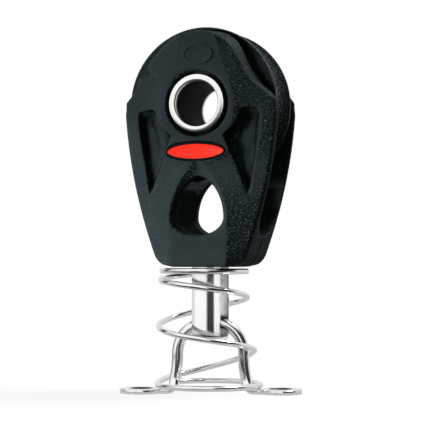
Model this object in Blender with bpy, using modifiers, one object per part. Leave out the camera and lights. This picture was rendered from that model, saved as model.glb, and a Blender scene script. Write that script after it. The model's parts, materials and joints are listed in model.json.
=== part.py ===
"""Stand-up foot block.

One sheave turns on a hollow hub between two moulded cheeks.  The cheeks hang on a flat steel
loop that passes under an eye strap on the deck, and a coil spring round the loop holds the
block upright.  The origin is on the deck below the sheave, +Z is up and the sheave turns
about Y.
"""

import math

import bmesh
import bpy
from mathutils import Vector

MM = 0.001
GAP = 0.3 * MM

# Sheave and hub
SHEAVE_RADIUS = 30.0 * MM
SHEAVE_HALF_WIDTH = 9.3 * MM
GROOVE_HALF_WIDTH = 7.7 * MM
GROOVE_DEPTH = 5.4 * MM
SHEAVE_EDGE = 0.6 * MM
HUB_BORE_RADIUS = 8.7 * MM
HUB_RADIUS = 11.1 * MM
HUB_HALF_LENGTH = 16.15 * MM
HUB_LIP = 1.5 * MM
BEARING_WALL = 2.4 * MM
AXIS_HEIGHT = 111.2 * MM

# Cheeks, heights measured from the sheave axis
SHEAVE_CLEARANCE = 0.4 * MM
CHEEK_INNER_FACE = SHEAVE_HALF_WIDTH + SHEAVE_CLEARANCE
LAND_FACE = 15.2 * MM
LOWER_LAND_FACE = 14.7 * MM
CHEEK_BOTTOM = -62.2 * MM
CHEEK_TOP = 28.0 * MM
CHEEK_FOOT_HALF_WIDTH = 17.25 * MM
FLANK_STRAIGHTNESS = 0.297
CORNER_RADIUS = 4.6 * MM
EDGE_ROUND = 0.9 * MM
SHOULDER_HEIGHT = -3.3 * MM
SHOULDER_HALF_WIDTH = 31.1 * MM
NECK_HEIGHT = -22.6 * MM
FULLER_MOST = 3.95 * MM
SPLAY_MOST = 2.8 * MM
CUTTER_MARGIN = 1.5 * MM

# Scallop: share of the way from shoulder to top, share of the shoulder's half width
SCALLOP = ((0.0, 1.0), (0.131, 0.982), (0.227, 0.873), (0.351, 0.7265), (0.537, 0.588),
           (0.728, 0.482), (0.872, 0.376), (0.962, 0.244), (1.0, 0.077))
NOTCH = (0.462, 0.476)
SCALLOP_FULLER = ((0.10, 0.0), (0.23, 0.27), (0.303, 0.49), (0.361, 0.70), (NOTCH[0], 1.0),
                  (NOTCH[1], 0.20), (0.60, 0.835), (0.703, 0.64), (0.872, 0.15), (1.0, 0.0))
SCALLOP_SPLAY = ((0.105, 0.0), (0.265, 0.429), (0.489, 0.714), (0.808, 0.893), (1.0, 1.0))

# Flank edge and crease: share of the cheek's height, share of the land's face or half width
FLANK_EDGE_FACE = ((0.0, 0.7895), (0.656, 0.8026), (0.734, 0.8487), (0.823, 0.9145),
                   (0.933, 0.9474), (1.0, 0.954))
CREASE = ((0.0, 0.376), (0.174, 0.376), (0.268, 0.302), (0.365, 0.167), (0.439, 0.029),
          (0.461, 0.193), (0.49, 0.3665), (0.5565, 0.4245), (0.667, 0.4565), (0.756, 0.431),
          (0.834, 0.3345), (0.90, 0.27), (1.0, 0.244))
LAND_STEP = (0.401, 0.5565)
SADDLE_RADIUS = CHEEK_INNER_FACE
SADDLE_HEIGHT = -40.9 * MM
BOSS_RADIUS = 15.2 * MM
BOSS_FOOT_RADIUS = 19.3 * MM
BOSS_FACE = 15.15 * MM
BOSS_ROOT = 11.8 * MM
SHADOW_GAP_RADIUS = 12.6 * MM
SHADOW_GAP_FLOOR = 12.4 * MM

# Egg-shaped eye through both cheeks
EGG_HALF_WIDTH = 9.9 * MM
EGG_WIDEST = -43.2 * MM
EGG_RISE = 15.7 * MM
EGG_DROP = 6.8 * MM
EGG_POINT = 1.25
DISH_HALF_WIDTH = 11.6 * MM
DISH_RISE = 22.0 * MM
DISH_DROP = 7.5 * MM
DISH_POINT = 1.8
DISH_FLOOR = 12.9 * MM
DISH_OVERLAP = 0.4 * MM

# Pocket corners: shares of the shoulder's half width and of the drop to the cheek's bottom
POCKET_MOUTH = ((0.566, 0.027), (0.791, 0.039), (0.804, 0.084), (0.643, 0.579), (0.383, 0.241),
                (0.328, 0.196), (0.495, 0.132))
POCKET_FLOOR = ((0.624, 0.08), (0.714, 0.077), (0.717, 0.106), (0.646, 0.506), (0.521, 0.28),
                (0.511, 0.244), (0.566, 0.164))
POCKET_FLOOR_FACE = 10.9 * MM
POCKET_MOUTH_FACE = 13.0 * MM
POCKET_CORNER = 1.8 * MM
POCKET_FLOOR_CORNER = 1.2 * MM

# Badge, bare
BADGE_ACROSS = -0.8 * MM
BADGE_HEIGHT = -18.2 * MM
BADGE_HALF_WIDTH = 12.1 * MM
BADGE_HALF_HEIGHT = 3.5 * MM
BADGE_THICKNESS = 0.65 * MM
BADGE_FACE = 14.95 * MM
BADGE_RIM = 0.5 * MM
BADGE_PAD_FACE = 15.05 * MM

# Eye strap, its stations as shares of the way from crown to tip, then the loop and its pin
ROD_RADIUS = 2.2 * MM
CROWN_HEIGHT = 27.6 * MM
STRAP_TURN = math.radians(16.0)
ARCH_HALF_SPAN = 12.9 * MM
LEG_FLARE = 1.2 * MM
ARCH_POWER = 2.2
FOOT_RADIUS = 3.4 * MM
LUG_THICKNESS = 2.0 * MM
LUG_RADIUS = 8.3 * MM
LUG_NECK = 3.6 * MM
LUG_CENTRE = 27.0 * MM
SCREW_HOLE_RADIUS = 2.6 * MM
SCREW_HEAD_RADIUS = 4.7 * MM
ARCH_END = 0.5
LEG_END = 0.62
BEND_END = 0.76
LOOP_HALF_WIDTH = 5.7 * MM
LOOP_STRIP = 2.2 * MM
LOOP_HALF_GAP = 4.4 * MM
LOOP_DROP = 5.6 * MM
LOOP_BEND_RADIUS = 0.8 * MM
PIN_RADIUS = 2.5 * MM
PIN_HALF_LENGTH = 9.0 * MM
PIN_HEIGHT = -56.2 * MM
LOOP_EYE_REACH = 3.1 * MM

# Spring, left-handed, counted in turns down from its top end; heights are shares of the space
# between lugs and cheeks, radii shares of the foot coil's
WIRE_RADIUS = 1.1 * MM
SPRING_FOOT_RADIUS = 19.9 * MM
SPRING_LEAN_MOST = 2.7 * MM
SPRING_TURNS = 3.92
SPRING_HEIGHT = ((0.0, 1.0), (0.6, 0.991), (1.06, 0.9185), (1.56, 0.765), (2.06, 0.5135),
                 (2.56, 0.2985), (2.9, 0.068), (3.12, 0.0025), (3.8, 0.0))
SPRING_COIL = ((0.0, 0.819), (1.0, 0.844), (1.56, 0.844), (2.06, 0.8995), (2.56, 0.935),
               (3.12, 1.0), (3.8, 1.0))
SPRING_LEAN = ((0.0, -0.222), (0.2985, -0.63), (0.5135, -0.852), (0.765, -1.0), (1.0, -1.0))
STEPS_PER_TURN = 36


def clear_scene():
    for thing in list(bpy.data.objects):
        bpy.data.objects.remove(thing, do_unlink=True)


def new_collection(name):
    collection = bpy.data.collections.new(name)
    bpy.context.scene.collection.children.link(collection)
    return collection


def new_material(name, colour, metallic, roughness):
    material = bpy.data.materials.new(name)
    material.use_nodes = True
    shader = material.node_tree.nodes["Principled BSDF"]
    shader.inputs["Base Color"].default_value = (*colour, 1.0)
    shader.inputs["Metallic"].default_value = metallic
    shader.inputs["Roughness"].default_value = roughness
    return material


def new_empty(name, location, parent=None):
    empty = bpy.data.objects.new(name, None)
    empty.location = location
    empty.parent = parent
    parts.objects.link(empty)
    return empty


def place(thing, parent, material):
    thing.parent = parent
    thing.data.materials.clear()
    thing.data.materials.append(material)
    return thing


def mesh_object(name, form, collection):
    mesh = bpy.data.meshes.new(name)
    bmesh.ops.recalc_face_normals(form, faces=form.faces)
    form.to_mesh(mesh)
    form.free()
    thing = bpy.data.objects.new(name, mesh)
    collection.objects.link(thing)
    return thing


def soften(thing, angle=35.0):
    thing.data.shade_smooth()
    thing.data.set_sharp_from_angle(angle=math.radians(angle))


def smooth_line(stations, value):
    """Read a size off a smooth line through (position, size) stations."""
    if value <= stations[0][0]:
        return stations[0][1]
    if value >= stations[-1][0]:
        return stations[-1][1]
    gaps = [b[0] - a[0] for a, b in zip(stations, stations[1:])]
    rises = [(b[1] - a[1]) / g for a, b, g in zip(stations, stations[1:], gaps)]
    slopes = [rises[0]]
    for before, after in zip(rises, rises[1:]):
        same_way = before * after > 0.0
        slopes.append(2.0 * before * after / (before + after) if same_way else 0.0)
    slopes.append(rises[-1])
    i = max(k for k, station in enumerate(stations[:-1]) if station[0] <= value)
    t = (value - stations[i][0]) / gaps[i]
    low = stations[i][1] * (1 + 2 * t) * (1 - t) ** 2 + slopes[i] * gaps[i] * t * (1 - t) ** 2
    high = stations[i + 1][1] * t * t * (3 - 2 * t) - slopes[i + 1] * gaps[i] * t * t * (1 - t)
    return low + high


def loft(name, rings, collection):
    """Skin a stack of rings with equal point counts and cap both ends."""
    form = bmesh.new()
    loops = [[form.verts.new(point) for point in ring] for ring in rings]
    count = len(loops[0])
    for lower, upper in zip(loops, loops[1:]):
        for i in range(count):
            j = (i + 1) % count
            form.faces.new((lower[i], lower[j], upper[j], upper[i]))
    bmesh.ops.triangulate(form, faces=form.faces, quad_method="SHORT_EDGE")
    form.faces.new(list(reversed(loops[0])))
    form.faces.new(loops[-1])
    return mesh_object(name, form, collection)


def turned(name, profile, steps, collection, closed=True):
    """Turn a (radius, along) profile about the Y axis with a Screw modifier."""
    form = bmesh.new()
    points = [form.verts.new((radius, 0.0, along)) for radius, along in profile]
    for a, b in zip(points, points[1:] + points[:closed]):
        form.edges.new((a, b))
    mesh = bpy.data.meshes.new(name)
    form.to_mesh(mesh)
    form.free()
    thing = bpy.data.objects.new(name, mesh)
    collection.objects.link(thing)
    screw = thing.modifiers.new("turn", "SCREW")
    screw.axis = "Z"
    screw.steps = steps
    screw.render_steps = steps
    screw.use_merge_vertices = True
    screw.merge_threshold = 0.00001
    screw.use_smooth_shade = True
    thing.rotation_euler = (math.radians(90.0), 0.0, 0.0)
    return thing


def round_bar(name, radius, y_from, y_to, centre=(0.0, 0.0), segments=48, end_radius=None):
    """Cutter cylinder or cone along Y, centred at (across, height)."""
    form = bmesh.new()
    bmesh.ops.create_cone(form, cap_ends=True, segments=segments, radius1=radius,
                          radius2=radius if end_radius is None else end_radius,
                          depth=abs(y_to - y_from))
    thing = mesh_object(name, form, cutters)
    turn = -90.0 if y_to > y_from else 90.0
    thing.rotation_euler = (math.radians(turn), 0.0, 0.0)
    thing.location = (centre[0], (y_from + y_to) / 2, centre[1])
    return as_guide(thing)


def as_guide(thing):
    thing.hide_render = True
    thing.display_type = "WIRE"
    thing.parent = sheave_axis
    return thing


def combine(target, tool, operation):
    step = target.modifiers.new(tool.name, "BOOLEAN")
    step.object = tool
    step.operation = operation
    step.solver = "EXACT"


def rounded(corners, radius, steps=2):
    """Round every corner of an outline, keeping the point order."""
    points = []
    count = len(corners)
    for i in range(count):
        corner = Vector(corners[i])
        before = Vector(corners[i - 1]) - corner
        after = Vector(corners[(i + 1) % count]) - corner
        reach = min(radius, 0.4 * before.length, 0.4 * after.length)
        start = corner + before.normalized() * reach
        end = corner + after.normalized() * reach
        for k in range(steps + 1):
            t = k / steps
            points.append(start * (1 - t) ** 2 + corner * 2 * t * (1 - t) + end * t * t)
    return points


def tapered_cut(name, mouth, floor, side, faces):
    """Cutter from an outline on the flank to a smaller one on the floor."""
    rings = []
    for outline, face in zip((mouth, mouth, floor), faces):
        rings.append([(point[0], side * face, point[1]) for point in outline])
    return as_guide(loft(name, rings, cutters))


def cheek_share(height):
    return (height - CHEEK_BOTTOM) / (CHEEK_TOP - CHEEK_BOTTOM)


def scallop_share(height):
    return (height - SHOULDER_HEIGHT) / (CHEEK_TOP - SHOULDER_HEIGHT)


def front_half_width(height):
    """Half width of a cheek's front edge at a height over the sheave axis."""
    if height > SHOULDER_HEIGHT:
        return smooth_line(SCALLOP, scallop_share(height)) * SHOULDER_HALF_WIDTH
    drop = (SHOULDER_HEIGHT - height) / (SHOULDER_HEIGHT - CHEEK_BOTTOM)
    pull = FLANK_STRAIGHTNESS * drop + (1.0 - FLANK_STRAIGHTNESS) * drop * drop
    width = SHOULDER_HALF_WIDTH - (SHOULDER_HALF_WIDTH - CHEEK_FOOT_HALF_WIDTH) * pull
    rest = CORNER_RADIUS - (height - CHEEK_BOTTOM)
    if rest > 0.0:
        width -= CORNER_RADIUS - math.sqrt(max(CORNER_RADIUS ** 2 - rest ** 2, 0.0))
    return width


def cheek_back(height):
    """Distance of the cheek's back from the middle plane: seam, round saddle, inner face."""
    below = SADDLE_HEIGHT - height
    if below <= 0.0:
        return CHEEK_INNER_FACE
    if below >= SADDLE_RADIUS:
        return GAP / 2
    return max(GAP / 2, math.sqrt(SADDLE_RADIUS ** 2 - below ** 2))


def cheek_half_section(height, inset, fuller):
    """One half of the cheek's outline in a level plane, from the back to the front land."""
    up, climb = scallop_share(height), cheek_share(height)
    front = front_half_width(height) - inset
    front += smooth_line(SCALLOP_FULLER, up) * FULLER_MOST if fuller else 0.0
    back_half = front + smooth_line(SCALLOP_SPLAY, up) * SPLAY_MOST
    edge = smooth_line(FLANK_EDGE_FACE, climb) * LAND_FACE - inset
    crease = min(smooth_line(CREASE, climb) * SHOULDER_HALF_WIDTH, front - 4 * EDGE_ROUND / 3)
    land = smooth_line(((LAND_STEP[0], LOWER_LAND_FACE), (LAND_STEP[1], LAND_FACE)), climb) - inset
    start = max(cheek_back(height), CHEEK_INNER_FACE) + SHEAVE_CLEARANCE
    return [(back_half, cheek_back(height)), (back_half, start),
            (front, edge - EDGE_ROUND), (front - EDGE_ROUND, edge + EDGE_ROUND / 9), (crease, land)]


def cheek_section(height, inset, side):
    """Whole outline; both cheeks are one moulding, so the fuller half changes sides."""
    right = cheek_half_section(height, inset, side > 0.0)
    left = cheek_half_section(height, inset, side < 0.0)
    ring = right + [(-x, y) for x, y in reversed(left)]
    return [(x, side * y, height) for x, y in ring]


def between(low, high, count):
    """Evenly spaced heights between two others, both left out."""
    return [low + (high - low) * k / (count + 1) for k in range(1, count + 1)]


def cheek_heights():
    saddle_low = SADDLE_HEIGHT - SADDLE_RADIUS
    corner_top = CHEEK_BOTTOM + CORNER_RADIUS
    heights = [CHEEK_BOTTOM, CHEEK_BOTTOM + EDGE_ROUND, SHOULDER_HEIGHT, NECK_HEIGHT, CHEEK_TOP]
    heights += [CHEEK_BOTTOM + CORNER_RADIUS * share for share in (0.33, 0.5, 0.7, 1.0)]
    heights += between(corner_top, saddle_low, 2)
    heights += [SADDLE_HEIGHT - SADDLE_RADIUS * math.cos(math.radians(11.25 * k)) for k in range(9)]
    heights += between(SADDLE_HEIGHT, NECK_HEIGHT, 8)
    heights += between(NECK_HEIGHT, SHOULDER_HEIGHT, 12)
    heights += between(SHOULDER_HEIGHT, CHEEK_TOP, 19)
    heights += [SHOULDER_HEIGHT + (CHEEK_TOP - SHOULDER_HEIGHT) * share for share in NOTCH]
    heights += [CHEEK_TOP - EDGE_ROUND, CHEEK_TOP - EDGE_ROUND / 3]
    return sorted(heights)


def make_cheek(name, side):
    rings = []
    for height in cheek_heights():
        inset = 0.8 * EDGE_ROUND if height in (CHEEK_BOTTOM, CHEEK_TOP) else 0.0
        rings.append(cheek_section(height, inset, side))
    cheek = loft(name, rings, parts)
    boss = round_bar(name + "_boss", BOSS_FOOT_RADIUS, side * BOSS_ROOT, side * BOSS_FACE,
                     segments=44, end_radius=BOSS_RADIUS)
    combine(cheek, boss, "UNION")
    pad = badge_form(name + "_pad", side, BADGE_RIM + GAP, BOSS_ROOT, BADGE_PAD_FACE)
    combine(cheek, pad, "UNION")
    for number, way in enumerate((-1.0, 1.0)):
        combine(cheek, pocket(name + "_pocket_%d" % number, side, way), "DIFFERENCE")
    combine(cheek, egg_eye(name + "_eye", side), "DIFFERENCE")
    combine(cheek, egg_dish(name + "_dish", side), "DIFFERENCE")
    recess_floor = BADGE_FACE - BADGE_THICKNESS - GAP
    recess = badge_form(name + "_recess", side, GAP, recess_floor, BOSS_FACE + CUTTER_MARGIN)
    combine(cheek, recess, "DIFFERENCE")
    combine(cheek, hub_seat(name + "_seat", side), "DIFFERENCE")
    combine(cheek, loop_slot(name + "_slot", side), "DIFFERENCE")
    bore = round_bar(name + "_pin_bore", PIN_RADIUS + GAP, side * PIN_HALF_LENGTH / 3,
                     side * (PIN_HALF_LENGTH + GAP), (0.0, PIN_HEIGHT), 24)
    combine(cheek, bore, "DIFFERENCE")
    return cheek


def pocket(name, side, way):
    """Three-cornered blind pocket beside the hub, with a long slope on the hub side."""
    mouth = rounded(pocket_corners(POCKET_MOUTH, way), POCKET_CORNER)
    floor = rounded(pocket_corners(POCKET_FLOOR, way), POCKET_FLOOR_CORNER)
    faces = (BOSS_FACE + CUTTER_MARGIN, POCKET_MOUTH_FACE, POCKET_FLOOR_FACE)
    return tapered_cut(name, mouth, floor, side, faces)


def pocket_corners(shares, way):
    return [(way * across * SHOULDER_HALF_WIDTH, down * CHEEK_BOTTOM) for across, down in shares]


def egg_outline(grow, count=32):
    points = []
    for k in range(count):
        angle = 2 * math.pi * k / count
        upper = math.cos(angle) > 0
        reach = EGG_RISE if upper else EGG_DROP
        sine = math.sin(angle)
        bow = math.copysign(abs(sine) ** EGG_POINT, sine) if upper else sine
        across = (EGG_HALF_WIDTH + grow) * bow
        points.append((across, EGG_WIDEST + (reach + grow) * math.cos(angle)))
    return points


def dish_outline(count=32):
    """Pointed arch over the eye, round below it."""
    points = []
    for k in range(count):
        angle = 2 * math.pi * k / count
        sine = math.sin(angle)
        if math.cos(angle) > 0:
            across = DISH_HALF_WIDTH * math.copysign(abs(sine) ** DISH_POINT, sine)
            points.append((across, EGG_WIDEST + DISH_RISE * math.cos(angle)))
        else:
            points.append((DISH_HALF_WIDTH * sine, EGG_WIDEST + DISH_DROP * math.cos(angle)))
    return points


def egg_eye(name, side):
    outline = egg_outline(0.0)
    faces = (-CUTTER_MARGIN, BOSS_FACE + CUTTER_MARGIN)
    rings = [[(x, side * face, z) for x, z in outline] for face in faces]
    return as_guide(loft(name, rings, cutters))


def egg_dish(name, side):
    faces = (BOSS_FACE + CUTTER_MARGIN, LOWER_LAND_FACE, DISH_FLOOR)
    return tapered_cut(name, dish_outline(), egg_outline(-DISH_OVERLAP), side, faces)


def badge_form(name, side, grow, y_from, y_to, collection=None):
    """Elliptical disc facing out of a cheek."""
    form = bmesh.new()
    bmesh.ops.create_cone(form, cap_ends=True, segments=40, radius1=1.0, radius2=1.0,
                          depth=abs(y_to - y_from))
    size = Vector((BADGE_HALF_WIDTH + grow, BADGE_HALF_HEIGHT + grow, 1.0))
    bmesh.ops.scale(form, vec=size, verts=form.verts)
    thing = mesh_object(name, form, cutters if collection is None else collection)
    thing.rotation_euler = (math.radians(90.0), 0.0, 0.0)
    thing.location = (-side * BADGE_ACROSS, side * (y_from + y_to) / 2, BADGE_HEIGHT)
    return as_guide(thing) if collection is None else thing


def hub_seat(name, side):
    """Bore for the hub, wider outside so that a shadow gap shows round the steel."""
    bore = HUB_RADIUS + GAP
    outside = BOSS_FACE + CUTTER_MARGIN
    inside = CHEEK_INNER_FACE - CUTTER_MARGIN
    profile = [(0.0, outside), (SHADOW_GAP_RADIUS, outside),
               (SHADOW_GAP_RADIUS, SHADOW_GAP_FLOOR), (bore, SHADOW_GAP_FLOOR),
               (bore, inside), (0.0, inside)]
    if side > 0:
        profile = [(radius, -along) for radius, along in reversed(profile)]
    return as_guide(turned(name, profile, 44, cutters, closed=False))


def loop_slot(name, side):
    """Slot in the seam for the loop's legs and the pin's middle."""
    half_depth = LOOP_HALF_GAP + LOOP_STRIP + GAP
    top = PIN_HEIGHT + LOOP_EYE_REACH + GAP
    low = CHEEK_BOTTOM - CUTTER_MARGIN
    form = bmesh.new()
    bmesh.ops.create_cube(form, size=1.0)
    size = Vector((2 * (LOOP_HALF_WIDTH + GAP), 2 * half_depth, top - low))
    bmesh.ops.scale(form, vec=size, verts=form.verts)
    slot = mesh_object(name, form, cutters)
    slot.location = (0.0, 0.0, (top + low) / 2)
    return as_guide(slot)


def make_sheave():
    edge = SHEAVE_HALF_WIDTH
    arc = (GROOVE_HALF_WIDTH ** 2 + GROOVE_DEPTH ** 2) / (2 * GROOVE_DEPTH)
    swing = math.asin(GROOVE_HALF_WIDTH / arc)
    floor = SHEAVE_RADIUS - GROOVE_DEPTH
    outer = [(SHEAVE_RADIUS - SHEAVE_EDGE, edge),
             (SHEAVE_RADIUS - SHEAVE_EDGE / 4, edge - 0.8 * SHEAVE_EDGE)]
    for k in range(9):
        angle = swing * (1 - k / 4)
        outer.append((floor + arc * (1 - math.cos(angle)), arc * math.sin(angle)))
    outer += [(radius, -along) for radius, along in reversed(outer[:2])]
    bore = HUB_RADIUS + BEARING_WALL + 2 * GAP
    profile = outer + [(bore + SHEAVE_EDGE / 2, -edge), (bore, SHEAVE_EDGE / 2 - edge)]
    profile += [(bore, edge - SHEAVE_EDGE / 2), (bore + SHEAVE_EDGE / 2, edge)]
    sheave = turned("sheave", profile, 48, parts)
    return place(sheave, sheave_axis, black_plastic)


def make_hub():
    lip = []
    for k in range(5):
        angle = math.radians(90.0 * k / 4)
        lip.append((HUB_BORE_RADIUS + HUB_LIP * (1 - math.sin(angle)),
                    HUB_HALF_LENGTH - HUB_LIP * (1 - math.cos(angle))))
    lip = list(reversed(lip))
    rim = [(HUB_RADIUS - HUB_LIP / 4, HUB_HALF_LENGTH), (HUB_RADIUS, HUB_HALF_LENGTH - HUB_LIP / 3)]
    upper = lip + rim
    profile = upper + [(radius, -along) for radius, along in reversed(upper)]
    hub = turned("hub_bush", profile, 48, parts)
    place(hub, sheave_axis, steel)
    inner = HUB_RADIUS + GAP
    outer = inner + BEARING_WALL
    half = SHEAVE_HALF_WIDTH - SHEAVE_EDGE / 6
    sleeve = turned("bearing_sleeve", [(inner, half), (outer, half), (outer, -half),
                                       (inner, -half)], 48, parts)
    place(sleeve, sheave_axis, bearing_plastic)


def make_loop():
    """Flat strip bent under the rod, both legs running up to the pin."""
    middle = LOOP_HALF_GAP + LOOP_STRIP / 2
    bend = LOOP_BEND_RADIUS + LOOP_STRIP / 2
    floor = CROWN_HEIGHT - AXIS_HEIGHT - LOOP_DROP - LOOP_STRIP / 2
    top = PIN_HEIGHT + LOOP_EYE_REACH
    leg = [(middle, top), (middle, (top + floor) / 2)]
    for step in range(6):
        angle = math.radians(90.0 * step / 5)
        leg.append((middle - bend + bend * math.cos(angle), floor + bend - bend * math.sin(angle)))
    path = leg + [(-y, z) for y, z in reversed(leg)]
    form = bmesh.new()
    left = [form.verts.new((-LOOP_HALF_WIDTH, y, z)) for y, z in path]
    for a, b in zip(left, left[1:]):
        form.edges.new((a, b))
    drawn = bmesh.ops.extrude_edge_only(form, edges=form.edges)["geom"]
    moved = [part for part in drawn if isinstance(part, bmesh.types.BMVert)]
    bmesh.ops.translate(form, verts=moved, vec=(2 * LOOP_HALF_WIDTH, 0.0, 0.0))
    loop = mesh_object("stem_loop", form, parts)
    shell = loop.modifiers.new("strip", "SOLIDIFY")
    shell.thickness = LOOP_STRIP
    shell.offset = 0.0
    shell.use_even_offset = True
    bevel = loop.modifiers.new("edges", "BEVEL")
    bevel.width = LOOP_STRIP / 4
    bevel.segments = 2
    bevel.limit_method = "ANGLE"
    bevel.angle_limit = math.radians(50.0)
    reach = LOOP_HALF_GAP + LOOP_STRIP + CUTTER_MARGIN
    hole = round_bar("stem_loop_eye", PIN_RADIUS + GAP, -reach, reach, (0.0, PIN_HEIGHT), 24)
    combine(loop, hole, "DIFFERENCE")
    place(loop, sheave_axis, steel)
    bpy.ops.mesh.primitive_cylinder_add(vertices=24, radius=PIN_RADIUS, depth=2 * PIN_HALF_LENGTH,
                                        rotation=(math.radians(90.0), 0.0, 0.0),
                                        location=(0.0, 0.0, PIN_HEIGHT))
    pin = bpy.context.object
    pin.name = "head_pin"
    pin.data.name = "head_pin"
    for collection in pin.users_collection:
        collection.objects.unlink(pin)
    parts.objects.link(pin)
    place(pin, sheave_axis, steel)
    soften(pin)


def make_badge(name, side):
    badge = badge_form(name, side, 0.0, BADGE_FACE - BADGE_THICKNESS, BADGE_FACE, parts)
    place(badge, sheave_axis, red)
    soften(badge)


def arch_point(share):
    """Point and direction of the strap's centre line: 0 at the crown, 1 at the tip."""
    spring_line = CROWN_HEIGHT - ARCH_HALF_SPAN
    foot_x = ARCH_HALF_SPAN + LEG_FLARE
    flat = LUG_THICKNESS / 2
    if share <= ARCH_END:
        angle = math.radians(90.0) * (1 - share / ARCH_END)
        across = ARCH_HALF_SPAN * math.cos(angle) ** (2 / ARCH_POWER)
        height = spring_line + ARCH_HALF_SPAN * math.sin(angle) ** (2 / ARCH_POWER)
        return across, height
    if share <= LEG_END:
        t = (share - ARCH_END) / (LEG_END - ARCH_END)
        low = flat + FOOT_RADIUS
        return ARCH_HALF_SPAN + LEG_FLARE * t * t, spring_line + (low - spring_line) * t
    if share <= BEND_END:
        angle = math.radians(90.0) * (share - LEG_END) / (BEND_END - LEG_END)
        return (foot_x + FOOT_RADIUS * (1 - math.cos(angle)),
                flat + FOOT_RADIUS * (1 - math.sin(angle)))
    t = (share - BEND_END) / (1.0 - BEND_END)
    start = foot_x + FOOT_RADIUS
    return start + (LUG_CENTRE + LUG_RADIUS - start) * t, flat


def strap_section(share, way):
    """Ring round the strap: a circle on the arch, flattened and spread at the lug."""
    ahead = Vector(arch_point(min(share + 0.004, 1.0)))
    behind = Vector(arch_point(max(share - 0.004, 0.0)))
    bent = share < BEND_END - 0.001
    along = (ahead - behind).normalized() if bent else Vector((1.0, 0.0))
    centre = Vector(arch_point(share))
    flatness = smooth_line(((0.60, 0.0), (0.70, 0.55), (BEND_END, 0.97), (0.78, 1.0)), share)
    neck = smooth_line(((0.60, 0.61), (0.78, 1.0), (0.86, 1.0), (0.9, 0.0)), share) * LUG_NECK
    into = abs(centre[0] - LUG_CENTRE)
    disc = math.sqrt(max(LUG_RADIUS ** 2 - into ** 2, 0.0)) if into < LUG_RADIUS else 0.0
    half_width = max(neck, disc, ROD_RADIUS if share < 0.6 else 0.0, LUG_THICKNESS / 4)
    half_height = ROD_RADIUS + (LUG_THICKNESS / 2 - ROD_RADIUS) * flatness
    ring = []
    for k in range(16):
        angle = 2 * math.pi * k / 16
        circle = (math.cos(angle), math.sin(angle))
        largest = max(abs(circle[0]), abs(circle[1]))
        square = (circle[0] / largest, circle[1] / largest)
        corner = 0.94 if k % 4 == 2 else 1.0
        u = (circle[0] * (1 - flatness) + square[0] * corner * flatness) * half_width
        v = (circle[1] * (1 - flatness) + square[1] * flatness) * half_height
        out = Vector((-along[1], along[0])) * v
        ring.append((way * (centre[0] + out[0]), u, centre[1] + out[1]))
    return ring


def make_strap():
    shares = [ARCH_END * k / 10 for k in range(11)] + [0.56, 0.60]
    shares += [LEG_END + (BEND_END - LEG_END) * k / 5 for k in range(6)] + [0.785, 0.81]
    reach = LUG_CENTRE + LUG_RADIUS
    start = ARCH_HALF_SPAN + LEG_FLARE + FOOT_RADIUS
    for k in range(11):
        across = LUG_CENTRE - LUG_RADIUS * math.cos(math.radians(18.0 * k))
        share = BEND_END + (1.0 - BEND_END) * (across - start) / (reach - start)
        if share > 0.83:
            shares.append(min(share, 0.9995))
    rings = [strap_section(share, -1.0) for share in reversed(shares[1:])]
    rings += [strap_section(share, 1.0) for share in shares]
    strap = loft("eye_strap", rings, parts)
    for number, way in enumerate((-1.0, 1.0)):
        bore = screw_cutter("strap_screw_%d" % number, way)
        combine(strap, bore, "DIFFERENCE")
    strap.rotation_euler = (0.0, 0.0, STRAP_TURN)
    place(strap, None, steel)
    soften(strap)


def screw_cutter(name, way):
    """Countersunk screw hole: a profile turned about Z at the lug's centre."""
    depth = SCREW_HEAD_RADIUS - SCREW_HOLE_RADIUS
    over = LUG_THICKNESS / 10
    top = LUG_THICKNESS + over
    profile = [(0.0, top), (SCREW_HEAD_RADIUS + over, top),
               (SCREW_HOLE_RADIUS, LUG_THICKNESS - depth * 0.7),
               (SCREW_HOLE_RADIUS, -LUG_THICKNESS / 2), (0.0, -LUG_THICKNESS / 2)]
    form = bmesh.new()
    points = [form.verts.new((radius, 0.0, height)) for radius, height in profile]
    for a, b in zip(points, points[1:]):
        form.edges.new((a, b))
    mesh = bpy.data.meshes.new(name)
    form.to_mesh(mesh)
    form.free()
    thing = bpy.data.objects.new(name, mesh)
    cutters.objects.link(thing)
    screw = thing.modifiers.new("turn", "SCREW")
    screw.axis = "Z"
    screw.steps = 32
    screw.render_steps = 32
    screw.use_merge_vertices = True
    screw.merge_threshold = 0.00001
    centre = way * LUG_CENTRE
    thing.location = (centre * math.cos(STRAP_TURN), centre * math.sin(STRAP_TURN), 0.0)
    thing.hide_render = True
    thing.display_type = "WIRE"
    return thing


def make_spring():
    """Open coil from the cheeks' underside down to the lugs, wound left-handed."""
    curve = bpy.data.curves.new("spring", "CURVE")
    curve.dimensions = "3D"
    curve.bevel_depth = WIRE_RADIUS
    curve.bevel_resolution = 2
    curve.use_fill_caps = True
    steps = round(SPRING_TURNS * STEPS_PER_TURN)
    foot = LUG_THICKNESS + GAP + WIRE_RADIUS
    space = AXIS_HEIGHT + CHEEK_BOTTOM - GAP - WIRE_RADIUS - foot
    wire = curve.splines.new("POLY")
    wire.points.add(steps)
    for k in range(steps + 1):
        turns = SPRING_TURNS * k / steps
        rise = smooth_line(SPRING_HEIGHT, turns)
        radius = smooth_line(SPRING_COIL, turns) * SPRING_FOOT_RADIUS
        lean = smooth_line(SPRING_LEAN, rise) * SPRING_LEAN_MOST
        angle = math.pi + 2 * math.pi * turns
        wire.points[k].co = (radius * math.cos(angle) + lean, radius * math.sin(angle),
                             foot + space * rise, 1.0)
    spring = bpy.data.objects.new("spring", curve)
    parts.objects.link(spring)
    spring.data.materials.append(spring_wire)


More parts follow.
